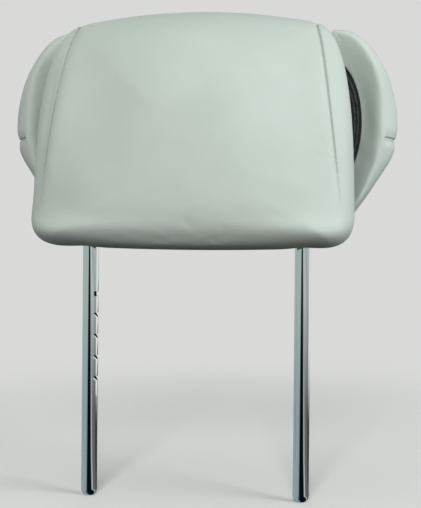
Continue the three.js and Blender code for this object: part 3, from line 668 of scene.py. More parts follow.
def make_pad():
    pad = pad_shape()
    even_mesh(pad, 2.6, 6)
    face = [on_surface(pad, face_seam(side)) for side in (-1, 1)]
    half = [
        (0, 13, 363), (90, 12, 354), (108, 7, 330), (112, 6, 300), (113, 6, 216), (108, 6, 200),
        (95, 6, 193.5), (0, 6, 191)]
    rear = on_surface(pad, both_halves(line_path(half, 24)))
    puff(pad, [point for seam in (*face, rear) for point in seam], 1.5)
    finer(pad)
    valleys = [point for side in (-1, 1) for point in side_valley(side)]
    press(pad, on_surface(pad, valleys), 0.0, 2.0, 1.2, 5.0)
    puckers = [point for side in (-1, 1) for fold in post_puckers(side) for point in fold]
    sew(pad, on_surface(pad, puckers), 0.25, 1.0, 0.1, 3.0)
    face = [on_surface(pad, seam) for seam in face]
    rear = on_surface(pad, rear)
    sew(pad, face[0] + face[1], 1.2, 0.7, 0.7, 4.5, 0.4)
    sew(pad, rear, 1.2, 0.9, 0.8, 5.0)
    dent_round_posts(pad)
    cutters = [box_body(*CORE_ROOM)]
    cutters += [post_hole(side, POST_RADIUS + POST_CLEARANCE, 170, 213) for side in (-1, 1)]
    cut_away(pad, cutters)
    seams = [on_surface(pad, seam) for seam in (*face, rear)]
    mark_seams(pad, seams)
    finish_leather(pad, "headrest", 0.9, "pad_cover", "pad_foam")
    stitch("pad_stitches", seams, "headrest")


def finish_leather(piece, body, fill, *nodes):
    smooth_shading(piece, SHARP_EDGE)
    piece.data.materials.clear()
    piece.data.materials.append(coated_leather())
    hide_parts(*nodes)
    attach(piece, body)


def make_back():
    back = back_shape()
    even_mesh(back, 3.0, 6)
    half = [
        (0, 50, 359.5), (84, 50, 351), (94, 50, 338), (95.5, 50, 300), (95.5, 50, 214), (93, 50, 201),
        (82, 50, 197.5), (0, 50, 197)]
    seam = on_surface(back, both_halves(line_path(half, 24)))
    puff(back, seam, 1.4)
    finer(back)
    seam = on_surface(back, seam)
    sew(back, seam, 1.2, 0.9, 0.8, 6.0)
    inner, outer, *rest = BRACKET_ROOM
    cutters = [box_body(*BOARD_ROOM), box_body(inner, outer, *rest), box_body(-outer, -inner, *rest)]
    cut_away(back, cutters)
    seam = on_surface(back, seam)
    mark_seams(back, [seam])
    finish_leather(back, "headrest", 0.9, "back_cover", "back_foam")
    stitch("back_stitches", [seam], "headrest")


def dish_outline():
    turn = [math.pi * (k / 40 - 0.5) for k in range(41)]
    arc = [(WING_INNER + DISH_WIDTH * math.cos(a), DISH_Z + DISH_HEIGHT * math.sin(a)) for a in turn]
    return arc + [(WING_INNER - 6, DISH_Z + DISH_HEIGHT), (WING_INNER - 6, DISH_Z - DISH_HEIGHT)]


def frame_outline():
    """The moulded plate's outline, with its clearance round it, open toward the hinge."""
    middle = np.array((WING_INNER, FRAME_MIDDLE_Z))
    points = []
    for point in wing_edge(48):
        way = (point - middle) * FRAME_SHARE
        points.append(middle + way * (1 + PLATE_CLEARANCE / np.linalg.norm(way)))
    beside = WING_INNER - PLATE_CLEARANCE
    return [(beside, points[0][1])] + points + [(beside, points[-1][1])]


def make_wings():
    wing = wing_shape()
    even_mesh(wing, 1.6, 5)
    across_rim = [(141.5, 29, 275.5), (147, 31, 274.8), (151, 38, 274.2), (151, 50, 274), (146, 60, 274)]
    over_top = [(106.5, 37, 348), (105.5, 40, 354), (105, 44, 360), (104.5, 52, 361), (104, 60, 358)]
    dart = line_path(across_rim, 20, 0.12)
    top = line_path(over_top, 20, 0.1)
    rim = []
    for point in wing_edge(160):
        inward = toward_middle(point, 3.0)
        rim.append((vec(inward[0], 58.5, inward[1]), 1.0))
    dart, top, rim = (
        on_surface(wing, [(wing_fullness(place), strength) for place, strength in line])
        for line in (dart, top, rim))
    puff(wing, dart + top + rim, 1.2)
    finer(wing)
    dart, top, rim = (on_surface(wing, line) for line in (dart, top, rim))
    sew(wing, dart, 1.3, 0.8, 1.3, 4.5)
    sew(wing, top, 0.4, 0.7, 0.2, 3.0)
    sew(wing, rim, 1.0, 0.8, 0.6, 4.0)
    cutters = [
        prism_body(dish_outline(), *TRIM_ROOM_Y),
        box_body(*HINGE_SIDE_ROOM),
        prism_body(frame_outline(), *PLATE_ROOM_Y),
    ]
    cut_away(wing, cutters)
    seams = [on_surface(wing, line) for line in (dart, top, rim)]
    mark_seams(wing, seams[::2])
    twin = mirrored(wing, "wing_leather_left")
    for piece, side, sign in ((wing, "right", 1), (twin, "left", -1)):
        finish_leather(piece, f"{side}_wing", 0.85, f"wing_cover_{side}", f"wing_foam_{side}")
        lines = [[(place * (sign, 1, 1), strength) for place, strength in seam] for seam in seams[2:]]
        stitch(f"wing_stitches_{side}", lines, f"{side}_wing")


# Stitches, made along the seams by Geometry Nodes

def stitch_tree():
    """Thread in a seam: short spindles along each line, with inputs for length, pitch and thickness."""
    tree = bpy.data.node_groups.new("seam_stitches", "GeometryNodeTree")
    face = tree.interface
    face.new_socket("Seam", in_out="INPUT", socket_type="NodeSocketGeometry")
    for name in ("Stitch Length", "Stitch Pitch", "Thread Radius"):
        face.new_socket(name, in_out="INPUT", socket_type="NodeSocketFloat")
    face.new_socket("Thread", in_out="INPUT", socket_type="NodeSocketMaterial")
    face.new_socket("Stitches", in_out="OUTPUT", socket_type="NodeSocketGeometry")
    given = add_node(tree, "NodeGroupInput")
    curve = add_node(tree, "GeometryNodeMeshToCurve", links={"Mesh": given.outputs["Seam"]})
    places = add_node(
        tree, "GeometryNodeCurveToPoints", {"mode": "LENGTH"}, links={"Curve": curve,
        "Length": given.outputs["Stitch Pitch"]})
    spindle = add_node(tree, "GeometryNodeMeshUVSphere", values={"Segments": 6, "Rings": 5, "Radius": 1.0})
    half = add_node(
        tree, "ShaderNodeMath", {"operation": "MULTIPLY"}, {1: 0.5}, {0: given.outputs["Stitch Length"]})
    size = add_node(
        tree, "ShaderNodeCombineXYZ", links={"X": given.outputs["Thread Radius"],
        "Y": given.outputs["Thread Radius"], "Z": half})
    copies = add_node(
        tree, "GeometryNodeInstanceOnPoints", links={"Points": places, "Instance": spindle,
        "Rotation": places.outputs["Rotation"], "Scale": size})
    real = add_node(tree, "GeometryNodeRealizeInstances", links={"Geometry": copies})
    dressed = add_node(
        tree, "GeometryNodeSetMaterial", links={"Geometry": real, "Material": given.outputs["Thread"]})
    add_node(tree, "NodeGroupOutput", links={"Stitches": dressed})
    return tree


def stitch(name, seams, body):
    """Lays one row of stitches in each seam, as one plain mesh that rides on the body."""
    points = []
    edges = []
    for seam in seams:
        first = len(points)
        points += [tuple(place * MM) for place, strength in seam if strength > 0.6]
        edges += [(i, i + 1) for i in range(first, len(points) - 1)]
    mesh = bpy.data.meshes.new(name)
    mesh.from_pydata(points, edges, [])
    mesh.update()
    piece = add_object(name, mesh)
    tree = bpy.data.node_groups.get("seam_stitches") or stitch_tree()
    rows = piece.modifiers.new("stitches", "NODES")
    rows.node_group = tree
    sizes = {
        "Stitch Length": STITCH_LENGTH * MM,
        "Stitch Pitch": STITCH_PITCH * MM,
        "Thread Radius": THREAD_RADIUS * MM,
        "Thread": sewing_thread(),
    }
    for item in tree.interface.items_tree:
        if item.in_out == "INPUT" and item.name in sizes:
            rows[item.identifier] = sizes[item.name]
    bake(piece)
    smooth_shading(piece)
    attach(piece, body)


# Posts

def notch_cut(z):
    """How deep the left post is cut on its inner side at height z."""
    for order in range(NOTCH_COUNT):
        middle = NOTCH_TOP_Z - order * NOTCH_PITCH
        roof = middle + NOTCH_HALF
        floor = middle - NOTCH_HALF if order == 0 else middle + 0.9
        run = 0.0 if order == 0 else 2.65
        if floor <= z <= roof:
            return NOTCH_DEPTH
        if floor - run <= z < floor:
            return NOTCH_DEPTH * (1 - (floor - z) / run)
        if roof < z < roof + 0.25:
            return 0.25 * (1 - (z - roof) / 0.25)
    return 0.0


def notch_levels():
    levels = []
    for order in range(NOTCH_COUNT):
        middle = NOTCH_TOP_Z - order * NOTCH_PITCH
        roof = middle + NOTCH_HALF
        floor = middle - NOTCH_HALF if order == 0 else middle + 0.9
        run = 0.25 if order == 0 else 2.65
        levels += [roof + 0.26, roof + 0.12, roof + 0.002, roof - 0.002, floor + 0.002, floor - 0.002]
        levels += [floor - run * part for part in (0.35, 0.7, 1.0)]
    return levels


def make_post(name, x, notched):
    sides = 72
    levels = [(2.8 * k / 3, 0.0) for k in range(1, 4)]
    for k in range(1, 13):
        angle = math.pi / 2 * k / 12
        levels.append((2.8 + (POST_RADIUS - 2.8) * math.sin(angle), POST_NOSE * (1 - math.cos(angle))))
    heights = [30, 60, 75, 175, 200, 240, 280, POST_TOP - 1]
    if notched:
        heights += notch_levels()
    levels += [(POST_RADIUS, z) for z in sorted(heights)]
    levels.append((POST_RADIUS - 1, POST_TOP))
    points = []
    for radius, z in levels:
        limit = POST_RADIUS - notch_cut(z) if notched else POST_RADIUS
        for k in range(sides):
            angle = 2 * math.pi * k / sides
            across = min(radius * math.cos(angle), limit)
            points.append((x + across, radius * math.sin(angle), z))
    faces = [tuple(reversed(range(sides)))]
    for row in range(len(levels) - 1):
        for k in range(sides):
            a = row * sides + k
            b = row * sides + (k + 1) % sides
            faces.append((a, b, b + sides, a + sides))
    last = (len(levels) - 1) * sides
    faces.append(tuple(range(last, last + sides)))
    post = add_object(name, mesh_from(name, np.array(points) * MM, faces))
    smooth_shading(post, 32)
    post.data.materials.append(chrome_plate())
    return post


def make_posts():
    for name, node, x, notched in (("post_chrome_left", "post_left", -POST_X, True),
                                   ("post_chrome_right", "post_right", POST_X, False)):
        post = make_post(name, x, notched)
        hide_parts(node)
        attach(post, "headrest")


# Materials

MIX_FACTOR = 0
MIX_FIRST = 6
MIX_SECOND = 7
MIX_RESULT = 2


def add_node(tree, kind, settings=None, values=None, links=None):
    """Adds one node with settings, input values and links; a linked node stands for its first output."""
    node = tree.nodes.new(kind)
    for name, setting in (settings or {}).items():
        setattr(node, name, setting)
    for socket, value in (values or {}).items():
        node.inputs[socket].default_value = value
    for socket, source in (links or {}).items():
        output = source.outputs[0] if isinstance(source, bpy.types.Node) else source
        tree.links.new(output, node.inputs[socket])
    return node


def new_material(name):
    """An empty material, its node tree, and the object's own coordinates to lay a pattern by."""
    material = bpy.data.materials.new(name)
    material.use_nodes = True
    tree = material.node_tree
    tree.nodes.clear()
    return material, tree, add_node(tree, "ShaderNodeTexCoord").outputs["Object"]


def per_metre(millimetres):
    """Texture scale for a pattern whose repeat is so many millimetres."""
    return 1000.0 / millimetres


@cache
def coated_leather():
    # Automotive leather, pigmented and embossed with a fine pebble grain: even pale colour and a dull
    # satin sheen, with painted shade darkening the seams, and slightly smoother where hands rub it.
    material, tree, place = new_material("coated_leather")
    # The embossed cells are about 0.7 mm, drawn at 1.1 mm so that they show at all.
    cells = add_node(
        tree, "ShaderNodeTexVoronoi", {"feature": "SMOOTH_F1"}, {"Scale": per_metre(1.1), "Randomness": 0.9,
        "Smoothness": 0.6}, {"Vector": place})
    creases = add_node(
        tree, "ShaderNodeTexNoise", None, {"Scale": per_metre(3.2), "Detail": 3.0, "Roughness": 0.6},
        {"Vector": place})
    tone = add_node(
        tree, "ShaderNodeTexNoise", None, {"Scale": per_metre(60), "Detail": 3.0, "Roughness": 0.5},
        {"Vector": place})
    rubbed_and_highlight = add_node(
        tree, "ShaderNodeTexNoise", None, {"Scale": per_metre(140), "Detail": 2.0}, {"Vector": place})
    seam = add_node(tree, "ShaderNodeAttribute", {"attribute_name": "seam_depth"})
    tone_share = add_node(
        tree, "ShaderNodeMapRange", None, {"From Min": 0.35, "From Max": 0.7}, {"Value": tone})
    skin = add_node(
        tree, "ShaderNodeMix", {"data_type": "RGBA"}, {MIX_FIRST: linear("CBD6CF"),
        MIX_SECOND: linear("C5D0C8")}, {MIX_FACTOR: tone_share})
    seam_share = add_node(
        tree, "ShaderNodeMath", {"operation": "MULTIPLY"}, {1: 0.6}, {0: seam.outputs["Fac"]})
    # Painted shade: the seams are darkened toward 7B8478 by their depth.
    seam_shade = add_node(
        tree, "ShaderNodeMix", {"data_type": "RGBA"}, {MIX_SECOND: linear("7B8478")},
        {MIX_FACTOR: seam_share, MIX_FIRST: skin.outputs[MIX_RESULT]})
    sheen = add_node(
        tree, "ShaderNodeMapRange", None, {"From Min": 0.3, "From Max": 0.7, "To Min": 0.44,
        "To Max": 0.56}, {"Value": rubbed_and_highlight})
    grain = add_node(tree, "ShaderNodeBump", None, {"Strength": 0.2, "Distance": 0.0002}, {"Height": cells})
    skin_bump = add_node(
        tree, "ShaderNodeBump", None, {"Strength": 0.1, "Distance": 0.0005}, {"Height": creases,
        "Normal": grain})
    shader = add_node(
        tree, "ShaderNodeBsdfPrincipled", None, {"IOR": 1.48, "Specular IOR Level": 0.42,
        "Sheen Weight": 0.06, "Sheen Roughness": 0.5}, {"Base Color": seam_shade.outputs[MIX_RESULT],
        "Roughness": sheen, "Normal": skin_bump})
    add_node(tree, "ShaderNodeOutputMaterial", links={"Surface": shader})
    return material


@cache
def sewing_thread():
    # Bonded polyester thread, twisted: dull, a little greyer than the leather, with fine slanting ply lines.
    material, tree, place = new_material("polyester_thread")
    # One turn of the ply every 0.8 mm.
    ply = add_node(
        tree, "ShaderNodeTexWave", {"bands_direction": "DIAGONAL"}, {"Scale": per_metre(0.8) / 20,
        "Distortion": 0.5}, {"Vector": place})
    colour = add_node(
        tree, "ShaderNodeMix", {"data_type": "RGBA"}, {MIX_FIRST: linear("9AA296"),
        MIX_SECOND: linear("B4BBB0")}, {MIX_FACTOR: ply.outputs["Fac"]})
    relief = add_node(
        tree, "ShaderNodeBump", None, {"Strength": 0.3, "Distance": 0.0001}, {"Height": ply.outputs["Fac"]})
    shader = add_node(
        tree, "ShaderNodeBsdfPrincipled", None, {"Roughness": 0.7},
        {"Base Color": colour.outputs[MIX_RESULT], "Normal": relief})
    add_node(tree, "ShaderNodeOutputMaterial", links={"Surface": shader})
    return material


@cache
def chrome_plate():
    # Bright chromium plate on drawn steel tube: a mirror with a faint haze from polishing and handling.
    material, tree, place = new_material("chrome_plate")
    # Smears of handling are about 15 mm across.
    haze = add_node(
        tree, "ShaderNodeTexNoise", None, {"Scale": per_metre(15), "Detail": 4.0}, {"Vector": place})
    polish = add_node(
        tree, "ShaderNodeMapRange", None, {"From Min": 0.4, "From Max": 0.75, "To Min": 0.03,
        "To Max": 0.07}, {"Value": haze})
    shader = add_node(
        tree, "ShaderNodeBsdfPrincipled", None, {"Base Color": linear("DCDFE1"), "Metallic": 1.0},
        {"Roughness": polish})
    add_node(tree, "ShaderNodeOutputMaterial", links={"Surface": shader})
    return material


def zinc_plated_steel():
    # Pressed sheet steel, zinc plated: grey, half bright, with a cloudy crystal grain.
    material, tree, place = new_material("zinc_plated_steel")
    # Zinc crystals of about 2.5 mm.
    grain = add_node(
        tree, "ShaderNodeTexNoise", None, {"Scale": per_metre(2.5), "Detail": 4.0}, {"Vector": place})
    rough = add_node(
        tree, "ShaderNodeMapRange", None, {"From Min": 0.3, "From Max": 0.7, "To Min": 0.34, "To Max": 0.5},
        {"Value": grain})
    relief = add_node(
        tree, "ShaderNodeBump", None, {"Strength": 0.08, "Distance": 0.0003}, {"Height": grain})
    shader = add_node(
        tree, "ShaderNodeBsdfPrincipled", None, {"Base Color": linear("8E9397"), "Metallic": 1.0},
        {"Roughness": rough, "Normal": relief})
    add_node(tree, "ShaderNodeOutputMaterial", links={"Surface": shader})
    return material


def bush_brass():
    # Turned brass: warm yellow, half bright, fine turning marks round the axis.
    material, tree, place = new_material("turned_brass")
    # Turning marks lie 0.3 mm apart, drawn at 0.6 mm.
    marks = add_node(
        tree, "ShaderNodeTexWave", {"bands_direction": "Z"}, {"Scale": per_metre(0.6) / 20},
        {"Vector": place})
    rough = add_node(
        tree, "ShaderNodeMapRange", None, {"To Min": 0.28, "To Max": 0.4}, {"Value": marks.outputs["Fac"]})
    shader = add_node(
        tree, "ShaderNodeBsdfPrincipled", None, {"Base Color": linear("A98A4A"), "Metallic": 1.0},
        {"Roughness": rough})
    add_node(tree, "ShaderNodeOutputMaterial", links={"Surface": shader})
    return material


def moulded_black_abs():
    # Black ABS from a spark-eroded mould: dull, with a fine pitted texture.
    material, tree, place = new_material("moulded_black_abs")
    # Spark pits of 0.2 mm, drawn at 0.7 mm.
    pits = add_node(tree, "ShaderNodeTexVoronoi", None, {"Scale": per_metre(0.7)}, {"Vector": place})
    tone = add_node(
        tree, "ShaderNodeTexNoise", None, {"Scale": per_metre(25), "Detail": 2.0}, {"Vector": place})
    rough = add_node(
        tree, "ShaderNodeMapRange", None, {"From Min": 0.3, "From Max": 0.7, "To Min": 0.5, "To Max": 0.62},
        {"Value": tone})
    relief = add_node(tree, "ShaderNodeBump", None, {"Strength": 0.2, "Distance": 0.0002}, {"Height": pits})
    shader = add_node(
        tree, "ShaderNodeBsdfPrincipled", None, {"Base Color": linear("17181A"), "IOR": 1.53},
        {"Roughness": rough, "Normal": relief})
    add_node(tree, "ShaderNodeOutputMaterial", links={"Surface": shader})
    return material


def ribbed_black_trim():
    # Black polypropylene trim, moulded smooth: its raised ribs carry a painted thin greenish highlight.
    material, tree, place = new_material("ribbed_black_trim")
    split = add_node(tree, "ShaderNodeSeparateXYZ", links={"Vector": place})
    # Distance from the dish's middle, with its height pressed to its width, so that the ribs are rings.
    outward = add_node(tree, "ShaderNodeMath", {"operation": "ABSOLUTE"}, None, {0: split.outputs["X"]})
    across = add_node(tree, "ShaderNodeMath", {"operation": "SUBTRACT"}, {1: WING_INNER * MM}, {0: outward})
    upward = add_node(
        tree, "ShaderNodeMath", {"operation": "SUBTRACT"}, {1: DISH_Z * MM}, {0: split.outputs["Z"]})
    pressed = add_node(
        tree, "ShaderNodeMath", {"operation": "MULTIPLY"}, {1: DISH_WIDTH / DISH_HEIGHT}, {0: upward})
    flat = add_node(tree, "ShaderNodeCombineXYZ", links={"X": across, "Y": pressed})
    radius = add_node(tree, "ShaderNodeVectorMath", {"operation": "LENGTH"}, None, {0: flat})
    # The moulded ribs are 1.1 mm wide and 2.6 mm apart; the first ends 3.3 mm inside the dish's edge.
    counted = add_node(
        tree, "ShaderNodeMath", {"operation": "MULTIPLY_ADD"}, {1: per_metre(2.6),
        2: -(DISH_WIDTH - 3.3) / 2.6 + 10}, {0: radius.outputs["Value"]})
    cycle = add_node(tree, "ShaderNodeMath", {"operation": "FRACT"}, None, {0: counted})
    rib = add_node(
        tree, "ShaderNodeMapRange", None, {"From Min": 0.36, "From Max": 0.5, "To Min": 1.0, "To Max": 0.0},
        {"Value": cycle})
    scuffs = add_node(
        tree, "ShaderNodeTexNoise", None, {"Scale": per_metre(4), "Detail": 4.0}, {"Vector": place})
    rough = add_node(
        tree, "ShaderNodeMapRange", None, {"From Min": 0.3, "From Max": 0.7, "To Min": 0.26,
        "To Max": 0.38}, {"Value": scuffs})
    # Painted highlight: the rib tops are lightened toward 5A6862, broken up by the scuff noise.
    rubbed_and_highlight = add_node(tree, "ShaderNodeMath", {"operation": "MULTIPLY"}, None, {0: rib, 1: scuffs})
    colour = add_node(
        tree, "ShaderNodeMix", {"data_type": "RGBA"}, {MIX_FIRST: linear("101312"),
        MIX_SECOND: linear("5A6862")}, {MIX_FACTOR: rubbed_and_highlight})
    relief = add_node(
        tree, "ShaderNodeBump", None, {"Strength": 0.06, "Distance": 0.0003}, {"Height": scuffs})
    shader = add_node(
        tree, "ShaderNodeBsdfPrincipled", None, {"IOR": 1.49}, {"Base Color": colour.outputs[MIX_RESULT],
        "Roughness": rough, "Normal": relief})
    add_node(tree, "ShaderNodeOutputMaterial", links={"Surface": shader})
    return material


def glass_filled_nylon():
    # Grey glass-filled nylon, injection moulded: dull grey with pale streaks of fibre near the surface.
    material, tree, place = new_material("glass_filled_nylon")
    # Fibre streaks about 3 mm long.
    fibres = add_node(
        tree, "ShaderNodeTexNoise", None, {"Scale": per_metre(3), "Detail": 5.0, "Distortion": 1.5},
        {"Vector": place})
    colour = add_node(
        tree, "ShaderNodeMix", {"data_type": "RGBA"}, {MIX_FIRST: linear("46494C"),
        MIX_SECOND: linear("585B5E")}, {MIX_FACTOR: fibres})
    rough = add_node(
        tree, "ShaderNodeMapRange", None, {"From Min": 0.3, "From Max": 0.7, "To Min": 0.44,
        "To Max": 0.58}, {"Value": fibres})
    shader = add_node(
        tree, "ShaderNodeBsdfPrincipled", None, {"IOR": 1.53}, {"Base Color": colour.outputs[MIX_RESULT],
        "Roughness": rough})
    add_node(tree, "ShaderNodeOutputMaterial", links={"Surface": shader})
    return material


def moulded_foam():
    # Cold-cured polyurethane foam: matt grey with small open cells.
    material, tree, place = new_material("moulded_foam")
    # Cells of about 0.8 mm.
    cells = add_node(tree, "ShaderNodeTexVoronoi", None, {"Scale": per_metre(0.8)}, {"Vector": place})
    colour = add_node(
        tree, "ShaderNodeMix", {"data_type": "RGBA"}, {MIX_FIRST: linear("7C7F82"),
        MIX_SECOND: linear("9A9DA0")}, {MIX_FACTOR: cells})
    relief = add_node(
        tree, "ShaderNodeBump", None, {"Strength": 0.6, "Distance": 0.0006}, {"Height": cells})
    shader = add_node(
        tree, "ShaderNodeBsdfPrincipled", None, {"Roughness": 0.95},
        {"Base Color": colour.outputs[MIX_RESULT], "Normal": relief})
    add_node(tree, "ShaderNodeOutputMaterial", links={"Surface": shader})
    return material


def dress_nodes():
    """Gives each carried-over solid the material of its slot."""
    finishes = {
        "steel": zinc_plated_steel(),
        "black_plastic": moulded_black_abs(),
        "trim_plastic": ribbed_black_trim(),
        "grey_plastic": glass_filled_nylon(),
        "foam": moulded_foam(),
        "bush": bush_brass(),
        "leather": coated_leather(),
        "chrome": chrome_plate(),
    }
    slots = {entry["node"]: entry["material_slot"] for entry in frame["record"]["subparts"]}
    for node, obj in frame["nodes"].items():
        material = finishes[slots[node]]
        for index in range(len(obj.material_slots)):
            obj.material_slots[index].material = material
        if len(obj.material_slots) == 0:
            obj.data.materials.append(material)


# Stage

BACKDROP = "D9DAD8"
FLOOR = "D6D7D6"
FLOOR_FOR_LIGHT = "2A2420"


def studio_floor_paint():
    # Matt painted studio floor that runs into an evenly lit pale backdrop. The object's own light sees
    # a darker table top.
    material, tree, place = new_material("studio_floor_paint")
    path = add_node(tree, "ShaderNodeLightPath")
    reach = add_node(tree, "ShaderNodeVectorMath", {"operation": "LENGTH"}, None, {0: place})
    colour = add_node(
        tree, "ShaderNodeMix", {"data_type": "RGBA"}, {MIX_FIRST: linear(FLOOR_FOR_LIGHT),
        MIX_SECOND: linear(FLOOR)}, {MIX_FACTOR: path.outputs["Is Camera Ray"]})
    paint = add_node(
        tree, "ShaderNodeBsdfDiffuse", None, {"Roughness": 0.9}, {"Color": colour.outputs[MIX_RESULT]})
    glow = add_node(tree, "ShaderNodeEmission", None, {"Color": linear(BACKDROP), "Strength": 1.0})
    distance = add_node(
        tree, "ShaderNodeMapRange", {"interpolation_type": "SMOOTHERSTEP"}, {"From Min": 0.25,
        "From Max": 1.2}, {"Value": reach.outputs["Value"]})
    share = add_node(
        tree, "ShaderNodeMath", {"operation": "MULTIPLY"}, None, {0: distance,
        1: path.outputs["Is Camera Ray"]})
    mixed = add_node(tree, "ShaderNodeMixShader", links={"Fac": share, 1: paint, 2: glow})
    add_node(tree, "ShaderNodeOutputMaterial", links={"Surface": mixed})
    return material


def make_stage():
    half = 3.0
    depth = 2.2
    radius = 0.7
    profile = [(-3.0, 0.0), (depth - radius, 0.0)]
    for k in range(1, 13):
        angle = math.pi / 2 * k / 12
        profile.append((depth - radius + radius * math.sin(angle), radius * (1 - math.cos(angle))))
    profile.append((depth, 3.2))
    points = [(x, y, z) for y, z in profile for x in (-half, half)]
    faces = [(2 * k, 2 * k + 1, 2 * k + 3, 2 * k + 2) for k in range(len(profile) - 1)]
    floor = add_object("studio_floor", mesh_from("studio_floor", points, faces))
    smooth_shading(floor)
    floor.data.materials.append(studio_floor_paint())
    floor.visible_glossy = False


LAMPS = (
    # name, place, aim, size, watts, colour
    ("front", (0.08, -1.9, 0.60), (0, 0, 0.26), (0.6, 1.2), 20.5, "FFFCF8"),
    ("right", (1.75, -0.75, 0.66), (0, 0, 0.26), (1.2, 1.2), 19.0, "F8FDFF"),
    ("top", (0.1, -0.3, 1.7), (0, 0, 0.3), (1.4, 1.0), 3.0, "FFFFFF"),
    ("rear", (-0.5, 1.7, 0.95), (0, 0, 0.26), (1.3, 1.2), 22.0, "FFFFFF"),
    ("left_rear", (-1.7, 0.75, 0.8), (0, 0, 0.26), (1.2, 1.2), 5.0, "FFFFFF"),
)
WORLD_TINT = "E2E6E2"
WORLD_LEVEL = 0.36


def make_lights():
    for name, place, aim, size, watts, colour in LAMPS:
        data = bpy.data.lights.new(name, "AREA")
        data.shape = "RECTANGLE"
        data.size, data.size_y = size
        data.energy = watts
        data.color = linear(colour)[:3]
        lamp = bpy.data.objects.new(name, data)
        scene.collection.objects.link(lamp)
        lamp.location = place
        lamp.rotation_euler = (Vector(aim) - Vector(place)).to_track_quat("-Z", "Y").to_euler()
        lamp.visible_glossy = False


# What polished metal sees round it, by how far the direction lies from the middle of the dark flag, in
# half-widths of the flag (negative to the left): level with the eye, and below it.
FLAG_MIDDLE = -8.0
FLAG_HALF = 9.0
FLAG_DRIFT = -1.7
FLAG_WIDENING = 2.1
STOP_RANGE = 24.0
LEVEL_STOPS = (
    (-24.0, "B7C6BE"), (-1.5, "B7C6BE"), (-0.8, "0C1520"), (0.8, "1A1A26"), (1.5, "C6CECB"),
    (4.0, "C6CECB"), (5.0, "A9B1B0"), (8.0, "C3CBC9"), (24.0, "C3CBC9"),
)
LOW_STOPS = (
    (-24.0, "8FA3A6"), (-2.6, "9FB3B6"), (-1.2, "97ABB0"), (-0.9, "05141A"), (0.9, "05141A"),
    (1.05, "D5E2E6"), (1.35, "C4D0D4"), (1.6, "6A6663"), (2.6, "7A7672"), (3.4, "4C4743"), (24.0, "3C3835"),
)
EDGE_LIGHT = "FFFFFF"
GAP_DARK = "0C1520"
# Degrees below the horizon, or round from the front, over which one part gives way to the next.
LOW_WALL = (2.5, 8.0)
WINDOW_EDGE = (104.0, 112.0)
SILL = (5.0, 8.5)
GAP_EDGE = (158.0, 165.0)


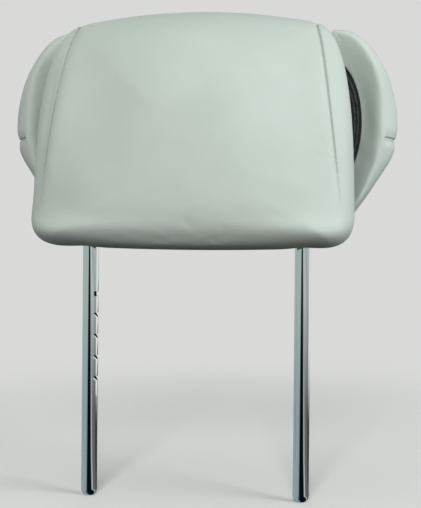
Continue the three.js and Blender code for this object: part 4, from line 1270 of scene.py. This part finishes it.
def make_world():
    """Pale light on the object, a pale backdrop for the camera, a studio with a dark flag to reflect."""
    world = bpy.data.worlds.new("studio")
    scene.world = world
    world.use_nodes = True
    tree = world.node_tree
    tree.nodes.clear()
    way = add_node(tree, "ShaderNodeTexCoord").outputs["Generated"]
    split = add_node(tree, "ShaderNodeSeparateXYZ", links={"Vector": way})
    front = add_node(tree, "ShaderNodeMath", {"operation": "MULTIPLY"}, {1: -1.0}, {0: split.outputs["Y"]})
    turn = add_node(
        tree, "ShaderNodeMath", {"operation": "ARCTAN2"}, None, {0: split.outputs["X"], 1: front})
    degrees = add_node(tree, "ShaderNodeMath", {"operation": "DEGREES"}, None, {0: turn})
    dip = add_node(
        tree, "ShaderNodeMath", {"operation": "MULTIPLY"}, {1: -math.degrees(1)}, {0: split.outputs["Z"]})
    below = add_node(tree, "ShaderNodeMath", {"operation": "MAXIMUM"}, {1: 0.0}, {0: dip})
    middle = add_node(
        tree, "ShaderNodeMath", {"operation": "MULTIPLY_ADD"}, {1: FLAG_DRIFT, 2: -FLAG_MIDDLE}, {0: below})
    away = add_node(tree, "ShaderNodeMath", {"operation": "ADD"}, None, {0: degrees, 1: middle})
    half = add_node(
        tree, "ShaderNodeMath", {"operation": "MULTIPLY_ADD"}, {1: FLAG_WIDENING, 2: FLAG_HALF}, {0: below})
    widths = add_node(tree, "ShaderNodeMath", {"operation": "DIVIDE"}, None, {0: away, 1: half})
    along = add_node(
        tree, "ShaderNodeMapRange", None, {"From Min": -STOP_RANGE, "From Max": STOP_RANGE},
        {"Value": widths})
    walls = []
    for stops in (LEVEL_STOPS, LOW_STOPS):
        wall = add_node(tree, "ShaderNodeValToRGB", links={"Fac": along})
        elements = wall.color_ramp.elements
        while len(elements) > 1:
            elements.remove(elements[-1])
        for order, (place, code) in enumerate(stops):
            position = (place + STOP_RANGE) / (2 * STOP_RANGE)
            element = elements[0] if order == 0 else elements.new(position)
            element.position = position
            element.color = linear(code)
        walls.append(wall)
    depth = add_node(
        tree, "ShaderNodeMapRange", None, {"From Min": LOW_WALL[0], "From Max": LOW_WALL[1]},
        {"Value": below})
    seen = add_node(
        tree, "ShaderNodeMix", {"data_type": "RGBA"}, None, {MIX_FACTOR: depth, MIX_FIRST: walls[0],
        MIX_SECOND: walls[1]})
    # A bright window far round to the right lights the right-hand edge of a post's upper part.
    window = add_node(
        tree, "ShaderNodeMapRange", None, {"From Min": WINDOW_EDGE[0], "From Max": WINDOW_EDGE[1]},
        {"Value": degrees})
    sill = add_node(
        tree, "ShaderNodeMapRange", None, {"From Min": SILL[0], "From Max": SILL[1], "To Min": 1.0,
        "To Max": 0.0}, {"Value": below})
    bright = add_node(tree, "ShaderNodeMath", {"operation": "MULTIPLY"}, None, {0: window, 1: sill})
    lit = add_node(
        tree, "ShaderNodeMix", {"data_type": "RGBA"}, {MIX_SECOND: linear(EDGE_LIGHT)}, {MIX_FACTOR: bright,
        MIX_FIRST: seen.outputs[MIX_RESULT]})
    # A narrow dark gap straight behind gives the posts a line when they are seen from the back.
    turned = add_node(tree, "ShaderNodeMath", {"operation": "ABSOLUTE"}, None, {0: degrees})
    gap = add_node(
        tree, "ShaderNodeMapRange", None, {"From Min": GAP_EDGE[0], "From Max": GAP_EDGE[1]},
        {"Value": turned})
    walls_and_gap = add_node(
        tree, "ShaderNodeMix", {"data_type": "RGBA"}, {MIX_SECOND: linear(GAP_DARK)}, {MIX_FACTOR: gap,
        MIX_FIRST: lit.outputs[MIX_RESULT]})
    mirror = add_node(
        tree, "ShaderNodeBackground", None, {"Strength": 1.0}, {"Color": walls_and_gap.outputs[MIX_RESULT]})
    ground = add_node(
        tree, "ShaderNodeBackground", None, {"Color": linear(WORLD_TINT), "Strength": WORLD_LEVEL})
    backdrop = add_node(tree, "ShaderNodeBackground", None, {"Color": linear(BACKDROP), "Strength": 1.0})
    path = add_node(tree, "ShaderNodeLightPath")
    reflected = add_node(
        tree, "ShaderNodeMixShader", links={"Fac": path.outputs["Is Glossy Ray"], 1: ground, 2: mirror})
    looked_at = add_node(
        tree, "ShaderNodeMixShader", links={"Fac": path.outputs["Is Camera Ray"], 1: reflected,
        2: backdrop})
    add_node(tree, "ShaderNodeOutputWorld", links={"Surface": looked_at})


def make_camera():
    data = bpy.data.cameras.new("camera")
    camera = bpy.data.objects.new("camera", data)
    scene.collection.objects.link(camera)
    a = math.radians(CAMERA_AZIMUTH)
    e = math.radians(CAMERA_ELEVATION)
    r = math.radians(CAMERA_ROLL)
    back = Vector((math.sin(a) * math.cos(e), -math.cos(a) * math.cos(e), math.sin(e)))
    place = Vector(CAMERA_TARGET) + back * CAMERA_DISTANCE
    right = (-back).cross(Vector((0, 0, 1))).normalized()
    up = right.cross(-back)
    turned = right * math.cos(r) + up * math.sin(r)
    above = -right * math.sin(r) + up * math.cos(r)
    basis = Matrix((turned, above, back)).transposed().to_4x4()
    camera.matrix_world = Matrix.Translation(place) @ basis
    data.sensor_width = SENSOR
    data.lens = FOCAL_PIXELS * SENSOR / PHOTO_HEIGHT
    data.clip_start = 0.01
    scene.camera = camera


def main():
    scene.view_settings.view_transform = "Standard"
    dress_nodes()
    make_posts()
    make_pad()
    make_back()
    make_wings()
    make_stage()
    make_lights()
    make_world()
    make_camera()


main()
